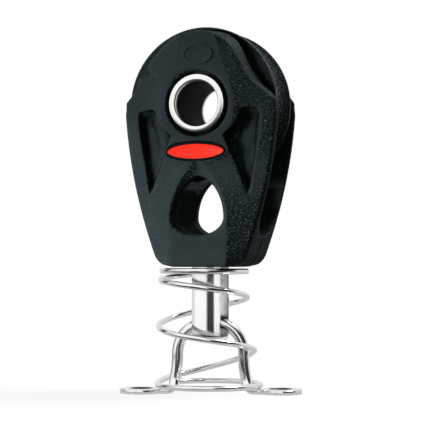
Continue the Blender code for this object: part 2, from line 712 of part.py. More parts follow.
clear_scene()
parts = new_collection("stand_up_foot_block")
cutters = new_collection("cutters")
black_plastic = new_material("moulded_black", (0.016, 0.019, 0.020), 0.0, 0.45)
bearing_plastic = new_material("bearing_grey", (0.10, 0.10, 0.10), 0.0, 0.4)
steel = new_material("polished_steel", (0.78, 0.78, 0.77), 1.0, 0.14)
spring_wire = new_material("spring_steel", (0.74, 0.74, 0.73), 1.0, 0.2)
red = new_material("badge_red", (0.80, 0.028, 0.016), 0.0, 0.3)

tilt_axis = new_empty("tilt_axis", (0.0, 0.0, CROWN_HEIGHT))
sheave_axis = new_empty("sheave_axis", (0.0, 0.0, AXIS_HEIGHT - CROWN_HEIGHT), tilt_axis)

for cheek_name, cheek_side in (("front_cheek", -1.0), ("rear_cheek", 1.0)):
    place(make_cheek(cheek_name, cheek_side), sheave_axis, black_plastic)
for badge_name, badge_side in (("front_badge", -1.0), ("rear_badge", 1.0)):
    make_badge(badge_name, badge_side)
make_sheave()
make_hub()
make_loop()
make_strap()
make_spring()
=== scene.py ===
"""Looks of the stand-up foot block: finished pieces, floor, light and camera round the solids."""

import json
import math

import bmesh
import bpy
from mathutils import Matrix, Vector
from mathutils.bvhtree import BVHTree

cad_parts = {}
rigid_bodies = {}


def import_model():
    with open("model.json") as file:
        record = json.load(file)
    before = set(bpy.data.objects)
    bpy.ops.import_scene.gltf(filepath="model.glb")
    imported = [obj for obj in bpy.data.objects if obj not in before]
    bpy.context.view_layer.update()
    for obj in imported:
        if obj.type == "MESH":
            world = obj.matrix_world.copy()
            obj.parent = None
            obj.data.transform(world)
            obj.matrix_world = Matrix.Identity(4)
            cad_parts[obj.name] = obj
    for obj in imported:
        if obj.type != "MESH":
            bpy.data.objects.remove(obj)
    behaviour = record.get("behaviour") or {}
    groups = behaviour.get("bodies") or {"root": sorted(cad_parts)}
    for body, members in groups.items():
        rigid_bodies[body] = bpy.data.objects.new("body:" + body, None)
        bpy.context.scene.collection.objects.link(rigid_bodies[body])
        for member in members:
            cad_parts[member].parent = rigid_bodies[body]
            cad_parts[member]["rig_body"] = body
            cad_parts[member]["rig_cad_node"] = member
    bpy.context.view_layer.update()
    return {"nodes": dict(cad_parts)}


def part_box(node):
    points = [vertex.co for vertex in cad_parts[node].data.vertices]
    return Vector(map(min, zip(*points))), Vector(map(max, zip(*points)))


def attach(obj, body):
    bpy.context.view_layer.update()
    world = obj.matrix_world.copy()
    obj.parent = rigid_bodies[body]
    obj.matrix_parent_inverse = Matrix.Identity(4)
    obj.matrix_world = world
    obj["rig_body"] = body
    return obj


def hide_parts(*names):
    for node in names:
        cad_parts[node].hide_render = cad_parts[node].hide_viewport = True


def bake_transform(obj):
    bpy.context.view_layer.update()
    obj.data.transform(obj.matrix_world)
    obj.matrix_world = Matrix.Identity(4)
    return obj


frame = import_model()

MM = 0.001
QUARTER = math.radians(90.0)

# Sizes that the solids also have
AXLE_HEIGHT = 111.2 * MM
SHEAVE_RADIUS = 30.0 * MM
SHEAVE_HALF_WIDTH = 9.3 * MM
GROOVE_HALF_WIDTH = 7.7 * MM
GROOVE_DEPTH = 5.4 * MM
SHEAVE_EDGE = 0.6 * MM
SHEAVE_BORE = 14.1 * MM
HUB_BORE_RADIUS = 8.7 * MM
HUB_RADIUS = 11.1 * MM
HUB_HALF_LENGTH = 16.15 * MM
BEARING_INNER = 11.4 * MM
BEARING_OUTER = 13.8 * MM
BEARING_HALF = 9.2 * MM
LAND_FACE = 15.2 * MM
CROWN_HEIGHT = 27.6 * MM
ROD_RADIUS = 2.2 * MM
STRAP_TURN = math.radians(16.0)
ARCH_HALF_SPAN = 12.9 * MM
LEG_FLARE = 1.2 * MM
ARCH_POWER = 2.2
ARCH_END = 0.5
LEG_END = 0.62
BEND_END = 0.76
FOOT_RADIUS = 3.4 * MM
LUG_THICKNESS = 2.0 * MM
LUG_RADIUS = 8.3 * MM
LUG_NECK = 3.6 * MM
LUG_CENTRE = 27.0 * MM
SCREW_HOLE_RADIUS = 2.6 * MM
SCREW_HEAD_RADIUS = 4.7 * MM
LOOP_HALF_WIDTH = 5.7 * MM
LOOP_STRIP = 2.2 * MM
LOOP_HALF_GAP = 4.4 * MM
LOOP_DROP = 5.6 * MM
LOOP_BEND_RADIUS = 0.8 * MM
LOOP_TOP = 58.1 * MM
WIRE_RADIUS = 1.1 * MM
SPRING_FOOT_RADIUS = 19.9 * MM
SPRING_LEAN_MOST = 2.7 * MM
SPRING_TURNS = 3.92
SPRING_FOOT_HEIGHT = 3.4 * MM
SPRING_TOP_HEIGHT = 47.6 * MM
SPRING_HEIGHT = ((0.0, 1.0), (0.6, 0.991), (1.06, 0.9185), (1.56, 0.765), (2.06, 0.5135),
                 (2.56, 0.2985), (2.9, 0.068), (3.12, 0.0025), (3.8, 0.0))
SPRING_COIL = ((0.0, 0.819), (1.0, 0.844), (1.56, 0.844), (2.06, 0.8995), (2.56, 0.935),
               (3.12, 1.0), (3.8, 1.0))
SPRING_LEAN = ((0.0, -0.222), (0.2985, -0.63), (0.5135, -0.852), (0.765, -1.0), (1.0, -1.0))

# Sizes of the finish, where the hub's rim is given as steps in from its outside and back from its end
MERGE_DISTANCE = 0.004 * MM
FRONT_FACING = 0.9
FLANGE_FACING = 0.97
LUG_FACING = 0.95
HUB_LIP = 0.55 * MM
HUB_RIM = ((0.4 * MM, 0.0), (0.1 * MM, 0.15 * MM), (0.0, 0.5 * MM))
BORE_BRIGHT = 0.6 * MM
BORE_DARK = 3.2 * MM
BORE_SKIN = 0.1 * MM
BEARING_CHAMFER = 0.3 * MM
CHEEK_GRID = 0.36 * MM
CHEEK_PASSES = 8
SHELTER_REACH = 22.0 * MM
SHELTER_RAYS = 48
SHELTER_GRAZING = 0.05
NOTCH_RISE = 13.0 * MM
NOTCH_EDGE = 21.0 * MM
NOTCH_FADE = 4.0 * MM
NOTCH_SPREAD = 7.0 * MM
NOTCH_DEPTH = 2.0 * MM
NOTCH_PASSES = 60
OVAL_ACROSS = 0.3 * MM
OVAL_HEIGHT = AXLE_HEIGHT + 18.75 * MM
OVAL_HALF_WIDTH = 6.2 * MM
OVAL_HALF_HEIGHT = 4.0 * MM
OVAL_PROUD = 0.32 * MM
OVAL_SUNK = 0.2 * MM
OVAL_RIM = 0.75 * MM
OVAL_ROUNDING = 0.14 * MM
BADGE_BORDER = 0.6 * MM
BADGE_STEP = 0.12 * MM
BADGE_ROUNDING = 0.08 * MM
LOOP_CROWN = 1.15 * MM
LOOP_CROWN_POWER = 2.3
LOOP_CORNER = 0.25 * MM
WIRE_STEPS_A_TURN = 110
WIRE_END_ROUNDING = 0.25 * MM
STRAP_FLATNESS = ((0.60, 0.0), (0.70, 0.55), (BEND_END, 0.97), (0.78, 1.0))
STRAP_NECK = ((0.60, 0.61), (0.78, 1.0), (0.86, 1.0), (0.9, 0.0))
STRAP_ROD_END = 0.6
STRAP_SQUARENESS = 6.0
STRAP_RING_GAP = 0.002
STRAP_LAST_RING = 0.9995
COUNTERSINK_SLOPE = 0.7
CUTTER_EXTRA = 0.2 * MM
PIN_CHAMFER = 0.4 * MM


# Helpers for modelling

def deselect_all():
    """Leave edit mode and select nothing."""
    if bpy.context.object and bpy.context.object.mode != "OBJECT":
        bpy.ops.object.mode_set(mode="OBJECT")
    bpy.ops.object.select_all(action="DESELECT")


def take(thing):
    """Make one object the only selected and the active one."""
    deselect_all()
    thing.select_set(True)
    bpy.context.view_layer.objects.active = thing
    return thing


def named(name):
    """Name the active object and its mesh."""
    thing = bpy.context.object
    thing.name = name
    thing.data.name = name
    return thing


def settle(thing):
    """Put the object's place into its mesh."""
    take(thing)
    bpy.ops.object.transform_apply(location=True, rotation=True, scale=True)
    return thing


def smooth(thing, degrees=38.0):
    """Shade smooth, but keep edges sharper than an angle."""
    take(thing)
    bpy.ops.object.shade_smooth_by_angle(angle=math.radians(degrees))
    return thing


def outward(thing):
    """Merge doubled points and turn every face outwards."""
    take(thing)
    bpy.ops.object.mode_set(mode="EDIT")
    bpy.ops.mesh.select_all(action="SELECT")
    bpy.ops.mesh.remove_doubles(threshold=MERGE_DISTANCE)
    bpy.ops.mesh.normals_make_consistent(inside=False)
    bpy.ops.object.mode_set(mode="OBJECT")
    return thing


def modify(thing, kind, **settings):
    """Add a modifier with its settings and apply it."""
    take(thing)
    step = thing.modifiers.new(kind.lower(), kind)
    for key, value in settings.items():
        setattr(step, key, value)
    bpy.ops.object.modifier_apply(modifier=step.name)
    return thing


def turned(name, profile, steps):
    """Draw a closed (radius, along) profile point by point and spin it about the axle."""
    deselect_all()
    bpy.ops.mesh.primitive_plane_add(size=MM, location=(0.0, 0.0, 0.0))
    thing = named(name)
    bpy.ops.object.mode_set(mode="EDIT")
    bpy.ops.mesh.merge(type="CENTER")
    here = None
    for radius, along in profile:
        if here is None:
            bpy.ops.transform.translate(value=(0.0, along, radius))
        else:
            step = (0.0, along - here[1], radius - here[0])
            bpy.ops.mesh.extrude_region_move(TRANSFORM_OT_translate={"value": step})
        here = (radius, along)
    bpy.ops.mesh.select_all(action="SELECT")
    bpy.ops.mesh.edge_face_add()
    bpy.ops.mesh.delete(type="ONLY_FACE")
    bpy.ops.mesh.select_all(action="SELECT")
    bpy.ops.mesh.spin(steps=steps, angle=4 * QUARTER, center=(0.0, 0.0, 0.0), axis=(0.0, 1.0, 0.0))
    bpy.ops.object.mode_set(mode="OBJECT")
    outward(thing)
    thing.location = (0.0, 0.0, AXLE_HEIGHT)
    settle(thing)
    return smooth(thing)


def oval_disc(name, centre, half_width, half_height, thickness):
    """Elliptical disc that faces along Y, with its place in its mesh."""
    deselect_all()
    bpy.ops.mesh.primitive_cylinder_add(vertices=128, radius=1.0, depth=thickness, location=centre,
                                        rotation=(QUARTER, 0.0, 0.0))
    disc = named(name)
    disc.scale = (half_width, half_height, 1.0)
    return settle(disc)


def pick_faces(thing, wanted):
    """Select in edit mode the faces for which wanted(face) holds."""
    take(thing)
    bpy.ops.object.mode_set(mode="EDIT")
    bpy.ops.mesh.select_mode(type="FACE")
    bpy.ops.mesh.select_all(action="DESELECT")
    bpy.ops.object.mode_set(mode="OBJECT")
    for face in thing.data.polygons:
        face.select = wanted(face)
    bpy.ops.object.mode_set(mode="EDIT")


def cad_copy(node_name, name):
    """A copy of a solid whose loose triangles are merged."""
    source = frame["nodes"][node_name]
    thing = source.copy()
    thing.data = source.data.copy()
    thing.name = name
    thing.data.name = name
    thing.parent = None
    thing.rotation_mode = "XYZ"
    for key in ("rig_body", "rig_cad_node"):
        if key in thing:
            del thing[key]
    bpy.context.scene.collection.objects.link(thing)
    take(thing)
    bpy.ops.mesh.customdata_custom_splitnormals_clear()
    bpy.ops.object.mode_set(mode="EDIT")
    bpy.ops.mesh.select_all(action="SELECT")
    bpy.ops.mesh.remove_doubles(threshold=MERGE_DISTANCE)
    bpy.ops.object.mode_set(mode="OBJECT")
    return thing


def skinned(name, rings):
    """Skin a row of rings with equal point counts, with a map that runs along and round them."""
    form = bmesh.new()
    chart = form.loops.layers.uv.new("UVMap")
    loops = [[form.verts.new(point) for point in ring] for ring in rings]
    count = len(loops[0])
    for step, (first, second) in enumerate(zip(loops, loops[1:])):
        for i in range(count):
            j = (i + 1) % count
            face = form.faces.new((first[i], first[j], second[j], second[i]))
            corners = ((step, i), (step, i + 1), (step + 1, i + 1), (step + 1, i))
            for corner, (along, about) in zip(face.loops, corners):
                corner[chart].uv = (along / len(rings), about / count)
    form.faces.new(list(reversed(loops[0])))
    form.faces.new(loops[-1])
    mesh = bpy.data.meshes.new(name)
    form.to_mesh(mesh)
    form.free()
    thing = bpy.data.objects.new(name, mesh)
    bpy.context.scene.collection.objects.link(thing)
    return outward(thing)


def smooth_line(stations, value):
    """Read a size off a smooth line through (position, size) stations."""
    if value <= stations[0][0]:
        return stations[0][1]
    if value >= stations[-1][0]:
        return stations[-1][1]
    gaps = [b[0] - a[0] for a, b in zip(stations, stations[1:])]
    rises = [(b[1] - a[1]) / g for a, b, g in zip(stations, stations[1:], gaps)]
    slopes = [rises[0]]
    for before, after in zip(rises, rises[1:]):
        same_way = before * after > 0.0
        slopes.append(2.0 * before * after / (before + after) if same_way else 0.0)
    slopes.append(rises[-1])
    i = max(k for k, station in enumerate(stations[:-1]) if station[0] <= value)
    t = (value - stations[i][0]) / gaps[i]
    low = stations[i][1] * (1 + 2 * t) * (1 - t) ** 2 + slopes[i] * gaps[i] * t * (1 - t) ** 2
    high = stations[i + 1][1] * t * t * (3 - 2 * t) - slopes[i + 1] * gaps[i] * t * t * (1 - t)
    return low + high


def dress(thing, material, body, slot_name, *nodes):
    """Give a piece its material, its body and the solids that it replaces; the slot name is not used.
    """
    thing.data.materials.clear()
    thing.data.materials.append(material)
    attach(thing, body)
    if nodes:
        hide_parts(*nodes)


# Helpers for materials

def node(tree, kind, values=None, links=None, **settings):
    """A new node with its settings, the values of its sockets and what is linked to them."""
    made = tree.nodes.new(kind)
    for key, value in settings.items():
        setattr(made, key, value)
    for key, value in (values or {}).items():
        made.inputs[key].default_value = value
    for key, socket in (links or {}).items():
        tree.links.new(socket, made.inputs[key])
    return made


def ramp(tree, value, low, high, least=0.0, most=1.0, kind="SMOOTHSTEP"):
    """Blend from least to most while a value goes from low to high."""
    made = node(tree, "ShaderNodeMapRange", {"From Min": low, "From Max": high, "To Min": least,
                                             "To Max": most}, {"Value": value},
                interpolation_type=kind)
    return made.outputs["Result"]


def math_of(tree, operation, first, second):
    """A Math node on two sockets, or on a socket and a number."""
    made = node(tree, "ShaderNodeMath", operation=operation)
    for slot, value in enumerate((first, second)):
        if isinstance(value, (int, float)):
            made.inputs[slot].default_value = value
        else:
            tree.links.new(value, made.inputs[slot])
    return made.outputs[0]


def mixed(tree, share, first, second):
    """Blend two colours, each a socket or three numbers, by a share."""
    made = node(tree, "ShaderNodeMix", data_type="RGBA")
    for label, colour in (("A", first), ("B", second)):
        if isinstance(colour, tuple):
            made.inputs[label].default_value = (*colour, 1.0)
        else:
            tree.links.new(colour, made.inputs[label])
    tree.links.new(share, made.inputs["Factor"])
    return made.outputs["Result"]


def effect(name, inputs, outputs):
    """A new node group with named float or vector inputs and float outputs."""
    group = bpy.data.node_groups.new(name, "ShaderNodeTree")
    for label, kind in inputs:
        group.interface.new_socket(name=label, in_out="INPUT", socket_type="NodeSocket" + kind)
    for label in outputs:
        group.interface.new_socket(name=label, in_out="OUTPUT", socket_type="NodeSocketFloat")
    return group, node(group, "NodeGroupInput"), node(group, "NodeGroupOutput")


def place_group(tree, group, values=None, links=None):
    """Place a group in a tree before its sockets are set, because it has none until then."""
    made = tree.nodes.new("ShaderNodeGroup")
    made.node_tree = group
    for key, value in (values or {}).items():
        made.inputs[key].default_value = value
    for key, socket in (links or {}).items():
        tree.links.new(socket, made.inputs[key])
    return made


# Effects that several materials share, with the limits between which each one blends

TIP_LIMITS = (0.54, 0.64)
PIT_SCALE = 0.45
PIT_DEPTH = 0.5
EDGE_LIMITS = (0.515, 0.60)
EDGE_BREAKS = (0.35, 0.62)
EDGE_LEAST = 0.35
SMUDGE_LIMITS = (0.34, 0.66)
SCRATCH_LIMITS = (0.62, 0.74)


def make_mould_grain():
    """Spark-eroded mould texture: its height and its tips, which the moulding lightens; on faces
    turned to X the lightened tips are painted glints.
    """
    group, given, result = effect("mould_grain", [("Place", "Vector"), ("Grains", "Float")],
                                  ["Height", "Tips"])
    fine = node(group, "ShaderNodeTexNoise", {"Detail": 3.0, "Roughness": 0.6},
                {"Vector": given.outputs["Place"], "Scale": given.outputs["Grains"]})
    wide = math_of(group, "MULTIPLY", given.outputs["Grains"], PIT_SCALE)
    pits = node(group, "ShaderNodeTexVoronoi", {"Smoothness": 0.6},
                {"Vector": given.outputs["Place"], "Scale": wide}, feature="SMOOTH_F1")
    depth = math_of(group, "MULTIPLY", pits.outputs["Distance"], PIT_DEPTH)
    height = math_of(group, "ADD", fine.outputs["Fac"], depth)
    group.links.new(height, result.inputs["Height"])
    group.links.new(ramp(group, fine.outputs["Fac"], *TIP_LIMITS), result.inputs["Tips"])
    return group


def make_handling():
    """Masks of rubbed edges, whose lightening is partly wear and partly painted highlight, and of
    finger smudges.
    """
    group, given, result = effect("handling", [("Place", "Vector")], ["Edge", "Smudge"])
    shape = node(group, "ShaderNodeNewGeometry")
    edge = ramp(group, shape.outputs["Pointiness"], *EDGE_LIMITS)
    broken = node(group, "ShaderNodeTexNoise", {"Scale": 260.0, "Detail": 4.0},
                  {"Vector": given.outputs["Place"]})
    share = ramp(group, broken.outputs["Fac"], *EDGE_BREAKS, least=EDGE_LEAST)
    group.links.new(math_of(group, "MULTIPLY", edge, share), result.inputs["Edge"])
    cloud = node(group, "ShaderNodeTexNoise", {"Scale": 42.0, "Detail": 5.0, "Roughness": 0.62},
                 {"Vector": given.outputs["Place"]})
    group.links.new(ramp(group, cloud.outputs["Fac"], *SMUDGE_LIMITS), result.inputs["Smudge"])
    return group


def make_drawn_lines():
    """Long fine lines, along the map that a swept piece carries."""
    group, given, result = effect("drawn_lines", [("Place", "Vector"), ("Along", "Float"),
                                                  ("Round", "Float")], ["Line", "Scratch"])
    split = node(group, "ShaderNodeSeparateXYZ", links={"Vector": given.outputs["Place"]})
    along = math_of(group, "MULTIPLY", split.outputs["X"], given.outputs["Along"])
    about = math_of(group, "MULTIPLY", split.outputs["Y"], given.outputs["Round"])
    joined = node(group, "ShaderNodeCombineXYZ", links={"X": along, "Y": about})
    lines = node(group, "ShaderNodeTexNoise", {"Scale": 1.0, "Detail": 4.0, "Roughness": 0.6},
                 {"Vector": joined.outputs["Vector"]})
    group.links.new(lines.outputs["Fac"], result.inputs["Line"])
    group.links.new(ramp(group, lines.outputs["Fac"], *SCRATCH_LIMITS), result.inputs["Scratch"])
    return group


def make_turning_marks():
    """Fine rings about the axle, as a lathe leaves them."""
    group, given, result = effect("turning_marks", [("Place", "Vector"), ("Axle Height", "Float"),
                                                    ("Rings", "Float")], ["Line"])
    split = node(group, "ShaderNodeSeparateXYZ", links={"Vector": given.outputs["Place"]})
    rise = math_of(group, "SUBTRACT", split.outputs["Z"], given.outputs["Axle Height"])
    square = math_of(group, "ADD", math_of(group, "MULTIPLY", rise, rise),
                    math_of(group, "MULTIPLY", split.outputs["X"], split.outputs["X"]))
    radius = math_of(group, "POWER", square, 0.5)
    joined = node(group, "ShaderNodeCombineXYZ", links={"X": radius, "Y": split.outputs["Y"]})
    rings = node(group, "ShaderNodeTexNoise", {"Detail": 3.0, "Roughness": 0.65},
                 {"Vector": joined.outputs["Vector"], "Scale": given.outputs["Rings"]})
    group.links.new(rings.outputs["Fac"], result.inputs["Line"])
    return group


mould_grain = make_mould_grain()
handling = make_handling()
drawn_lines = make_drawn_lines()
turning_marks = make_turning_marks()


# Materials, with the colours, shades and shares that they blend

CHARCOAL = (0.017, 0.0235, 0.0250)
WHITE = (1.0, 1.0, 1.0, 1.0)
TEAL_SHEEN = (0.70, 1.0, 1.05, 1.0)
# Limits and shades of the painted shade and painted glints on faces turned to X
PAINTED_SIDE_NOWHERE = 2.0
PAINTED_SIDE_EVERYWHERE = -2.0
PAINTED_SIDE_BLEND = 0.17
PAINTED_SIDE_SHADE = 0.25
TIP_AND_GLINT_SHADE = 4.2
TIP_SHARE = 1.2
EDGE_WEAR_AND_HIGHLIGHT_SHADE = 3.2
EDGE_SHARE = 0.45
# Where and how strongly shade is painted into recesses
PAINTED_RECESS_LIMITS = (0.04, 0.32)
PAINTED_RECESS_SHADE = 0.08
GRAIN_LIMITS = (0.3, 1.0)
GRAIN_SMOOTHEST = 0.07
GRAIN_ROUGHEST = 0.09
GRAZING_LIMITS = (0.32, 0.58)
GRAZING_DULL = 0.5
RECESS_DULL = 0.9
PAINTED_SIDE_DULL = 0.32
SMUDGE_POLISH = 0.05
EDGE_POLISH = 0.08
METAL_SMUDGE = 0.93
METAL_SCRATCH = 0.62
METAL_SCRATCH_SHARE = 0.35
METAL_SMOOTHEST = 0.7
METAL_ROUGHEST = 1.35
TURNED_SCRATCH_LIMITS = (0.6, 0.75)
LINE_LIMITS = (0.3, 0.7)
SLEEVE_DARK = 0.75
SLEEVE_BRIGHT = 1.25
SLEEVE_RUBBED_AND_HIGHLIGHT = 2.4
SLEEVE_RUBBED_SHARE = 0.4
SLEEVE_ROUGHNESS_SPAN = 0.08
BORE_LINE_DARK = 0.7
BORE_LINE_BRIGHT = 1.3
BORE_DULL_ROUGHNESS = 0.6
BORE_BRIGHT_ROUGHNESS = 0.25


def new_material(name):
    """A new material, its tree and its shader."""
    material = bpy.data.materials.new(name)
    material.use_nodes = True
    tree = material.node_tree
    return material, tree, tree.nodes["Principled BSDF"]


def shade(colour, factor):
    """A colour made darker or lighter by a factor."""
    return tuple(part * factor for part in colour)


def object_place(tree):
    """Object coordinates."""
    return node(tree, "ShaderNodeTexCoord").outputs["Object"]


def map_place(tree):
    """The map that a swept piece carries along and round it."""
    return node(tree, "ShaderNodeUVMap", uv_map="UVMap").outputs["UV"]


def bump(tree, shader, height, distance):
    """Shade as if the surface rose by a height times a distance."""
    made = node(tree, "ShaderNodeBump", {"Strength": 1.0, "Distance": distance}, {"Height": height})
    tree.links.new(made.outputs["Normal"], shader.inputs["Normal"])


def moulded_plastic(name, colour, roughness, grains, grain_height, specular, mottle=0.18,
                    tint=WHITE, painted_side_from=PAINTED_SIDE_NOWHERE):
    """Moulding with a fine eroded grain, rubbed edges lightened partly as wear and partly as painted
    highlight, faint smudges, and painted shade in recesses.

    On faces that turn to X by more than a given limit, the ground is darkened as painted shade and the
    grain's tips are lightened as painted glints. Those faces and the recesses are also duller.
    """
    material, tree, shader = new_material(name)
    coords = node(tree, "ShaderNodeTexCoord")
    place = coords.outputs["Object"]
    grain = place_group(tree, mould_grain, {"Grains": grains}, {"Place": place})
    marks = place_group(tree, handling, links={"Place": place})
    smudge, edge = marks.outputs["Smudge"], marks.outputs["Edge"]
    side = node(tree, "ShaderNodeSeparateXYZ", links={"Vector": coords.outputs["Normal"]})
    # Faces turned to X get painted shade on their ground and painted glints on their lightened grain
    # tips, and they are also rougher
    painted_side_mask = ramp(tree, side.outputs["X"], painted_side_from, painted_side_from + PAINTED_SIDE_BLEND)
    # Painted shade: where the cheeks shut in much of a point's view, the colour darkens nearly to
    # black; the same places are rougher
    shut = node(tree, "ShaderNodeAttribute", attribute_name="shelter").outputs["Fac"]
    recess_painted_shade = ramp(tree, shut, *PAINTED_RECESS_LIMITS)

    body = mixed(tree, smudge, shade(colour, 1 - mottle), shade(colour, 1 + mottle))
    ground = mixed(tree, painted_side_mask, body, shade(colour, PAINTED_SIDE_SHADE))
    share = ramp(tree, painted_side_mask, 0.0, 1.0, TIP_SHARE * mottle, 1.0)
    tips = math_of(tree, "MULTIPLY", grain.outputs["Tips"], share)
    tipped = mixed(tree, tips, ground, shade(colour, TIP_AND_GLINT_SHADE))
    # Edges lightened: partly wear, partly painted highlight
    worn = math_of(tree, "MULTIPLY", edge, EDGE_SHARE)
    rubbed_and_highlit = mixed(tree, worn, tipped, shade(colour, EDGE_WEAR_AND_HIGHLIGHT_SHADE))
    shown = mixed(tree, recess_painted_shade, rubbed_and_highlit, shade(colour, PAINTED_RECESS_SHADE))
    tree.links.new(shown, shader.inputs["Base Color"])

    base = ramp(tree, grain.outputs["Height"], *GRAIN_LIMITS, least=roughness - GRAIN_SMOOTHEST,
                most=roughness + GRAIN_ROUGHEST)
    greasy = math_of(tree, "MULTIPLY", smudge, SMUDGE_POLISH)
    polished = math_of(tree, "MULTIPLY", edge, EDGE_POLISH)
    level = math_of(tree, "SUBTRACT", math_of(tree, "SUBTRACT", base, greasy), polished)
    facing = node(tree, "ShaderNodeLayerWeight", {"Blend": 0.5}).outputs["Facing"]
    grazing = ramp(tree, facing, *GRAZING_LIMITS, least=0.0, most=GRAZING_DULL)
    dull = math_of(tree, "MAXIMUM", math_of(tree, "MULTIPLY", recess_painted_shade, RECESS_DULL),
                   math_of(tree, "MULTIPLY", painted_side_mask, PAINTED_SIDE_DULL))
    matt = math_of(tree, "ADD", level, math_of(tree, "MAXIMUM", grazing, dull))
    tree.links.new(math_of(tree, "MINIMUM", matt, 1.0), shader.inputs["Roughness"])

    bump(tree, shader, grain.outputs["Height"], grain_height)
    shader.inputs["Specular IOR Level"].default_value = specular
    shader.inputs["Specular Tint"].default_value = tint
    return material


def finish_metal(tree, shader, line, scratch, colour, roughness, depth):
    """Steel's colour and shine, from fine lines, scratches and smudges."""
    place = object_place(tree)
    marks = place_group(tree, handling, links={"Place": place})
    cloudy = mixed(tree, marks.outputs["Smudge"], colour, shade(colour, METAL_SMUDGE))
    share = math_of(tree, "MULTIPLY", scratch, METAL_SCRATCH_SHARE)
    lined = mixed(tree, share, cloudy, shade(colour, METAL_SCRATCH))
    tree.links.new(lined, shader.inputs["Base Color"])
    base = ramp(tree, line, *LINE_LIMITS, least=roughness * METAL_SMOOTHEST,
                most=roughness * METAL_ROUGHEST)
    greasy = math_of(tree, "MULTIPLY", marks.outputs["Smudge"], SMUDGE_POLISH)
    tree.links.new(math_of(tree, "ADD", base, greasy), shader.inputs["Roughness"])
    shader.inputs["Metallic"].default_value = 1.0
    bump(tree, shader, line, depth)


def swept_metal(name, colour, roughness, along, about, depth):
    """Steel drawn or polished lengthwise, read from the piece's own map."""
    material, tree, shader = new_material(name)
    lines = place_group(tree, drawn_lines, {"Along": along, "Round": about},
                        {"Place": map_place(tree)})
    finish_metal(tree, shader, lines.outputs["Line"], lines.outputs["Scratch"], colour, roughness,
                 depth)
    return material


def turned_metal(name, colour, roughness, rings, depth):
    """Steel turned about the axle."""
    material, tree, shader = new_material(name)
    marks = place_group(tree, turning_marks, {"Axle Height": AXLE_HEIGHT, "Rings": rings},
                        {"Place": object_place(tree)})
    scratch = ramp(tree, marks.outputs["Line"], *TURNED_SCRATCH_LIMITS)
    finish_metal(tree, shader, marks.outputs["Line"], scratch, colour, roughness, depth)
    return material


def turned_plastic(name, colour, roughness, rings, depth, specular):
    """Plastic turned about the axle, with a satin face."""
    material, tree, shader = new_material(name)
    place = object_place(tree)
    marks = place_group(tree, turning_marks, {"Axle Height": AXLE_HEIGHT, "Rings": rings},
                        {"Place": place})
    rub = place_group(tree, handling, links={"Place": place})
    body = mixed(tree, marks.outputs["Line"], shade(colour, SLEEVE_DARK), shade(colour, SLEEVE_BRIGHT))
    # Edges lightened: partly wear, partly painted highlight
    worn = math_of(tree, "MULTIPLY", rub.outputs["Edge"], SLEEVE_RUBBED_SHARE)
    rubbed_and_highlit = mixed(tree, worn, body, shade(colour, SLEEVE_RUBBED_AND_HIGHLIGHT))
    tree.links.new(rubbed_and_highlit, shader.inputs["Base Color"])
    level = ramp(tree, marks.outputs["Line"], *LINE_LIMITS, least=roughness - SLEEVE_ROUGHNESS_SPAN,
                 most=roughness + SLEEVE_ROUGHNESS_SPAN)
    tree.links.new(level, shader.inputs["Roughness"])
    bump(tree, shader, marks.outputs["Line"], depth)
    shader.inputs["Specular IOR Level"].default_value = specular
    return material


def fading_bore(name, bright, dark, rings, depth, specular):
    """Steel at the mouth of the bore that fades into a dull middle whose near-black colour is painted
    shade.
    """
    material, tree, shader = new_material(name)
    place = object_place(tree)
    marks = place_group(tree, turning_marks, {"Axle Height": AXLE_HEIGHT, "Rings": rings},
                        {"Place": place})
    split = node(tree, "ShaderNodeSeparateXYZ", links={"Vector": place})
    away = node(tree, "ShaderNodeMath", links={0: split.outputs["Y"]}, operation="ABSOLUTE")
    mouth = ramp(tree, away.outputs[0], HUB_HALF_LENGTH - BORE_DARK, HUB_HALF_LENGTH - BORE_BRIGHT)
    dull = mixed(tree, marks.outputs["Line"], shade(dark, BORE_LINE_DARK),
                 shade(dark, BORE_LINE_BRIGHT))
    tree.links.new(mixed(tree, mouth, dull, bright), shader.inputs["Base Color"])
    tree.links.new(mouth, shader.inputs["Metallic"])
    polish = ramp(tree, mouth, 0.0, 1.0, BORE_DULL_ROUGHNESS, BORE_BRIGHT_ROUGHNESS)
    tree.links.new(polish, shader.inputs["Roughness"])
    shader.inputs["Specular IOR Level"].default_value = specular
    bump(tree, shader, marks.outputs["Line"], depth)
    return material


charcoal = moulded_plastic(
    "charcoal_moulding", shade(CHARCOAL, 0.8), roughness=0.42, grains=1900.0, grain_height=0.2 * MM,
    specular=0.16, tint=TEAL_SHEEN, painted_side_from=0.05)
badge_black = moulded_plastic(
    "badge_border", (0.003, 0.003, 0.003), roughness=0.4, grains=3000.0, grain_height=0.01 * MM,
    specular=0.1)
badge_red = moulded_plastic(
    "badge_enamel", (0.72, 0.022, 0.012), roughness=0.3, grains=900.0, grain_height=0.004 * MM,
    specular=0.25, mottle=0.03)
# Lit and shaded copies of the sheave's one moulding: the side is painted shade, the groove is painted
# light with painted glints on its grain tips
sheave_side_painted_shade = moulded_plastic(
    "sheave_side_painted_shade", shade(CHARCOAL, 0.7), roughness=0.6, grains=1500.0, grain_height=0.1 * MM,
    specular=0.005)
sheave_groove_painted_light = moulded_plastic(
    "sheave_groove_painted_light", shade(CHARCOAL, 2.1), roughness=0.5, grains=1700.0, grain_height=0.2 * MM,
    specular=0.25, mottle=0.3, painted_side_from=PAINTED_SIDE_EVERYWHERE)
bearing_plastic = turned_plastic(
    "bearing_plastic", (0.09, 0.09, 0.088), roughness=0.4, rings=2600.0, depth=0.01 * MM,
    specular=0.35)
hub_steel = turned_metal(
    "polished_hub", (0.92, 0.92, 0.915), roughness=0.22, rings=1500.0, depth=0.003 * MM)
bore_painted_shade = fading_bore(
    "shaded_bore", (0.9, 0.9, 0.89), (0.006, 0.006, 0.006), rings=1400.0, depth=0.005 * MM,
    specular=0.02)
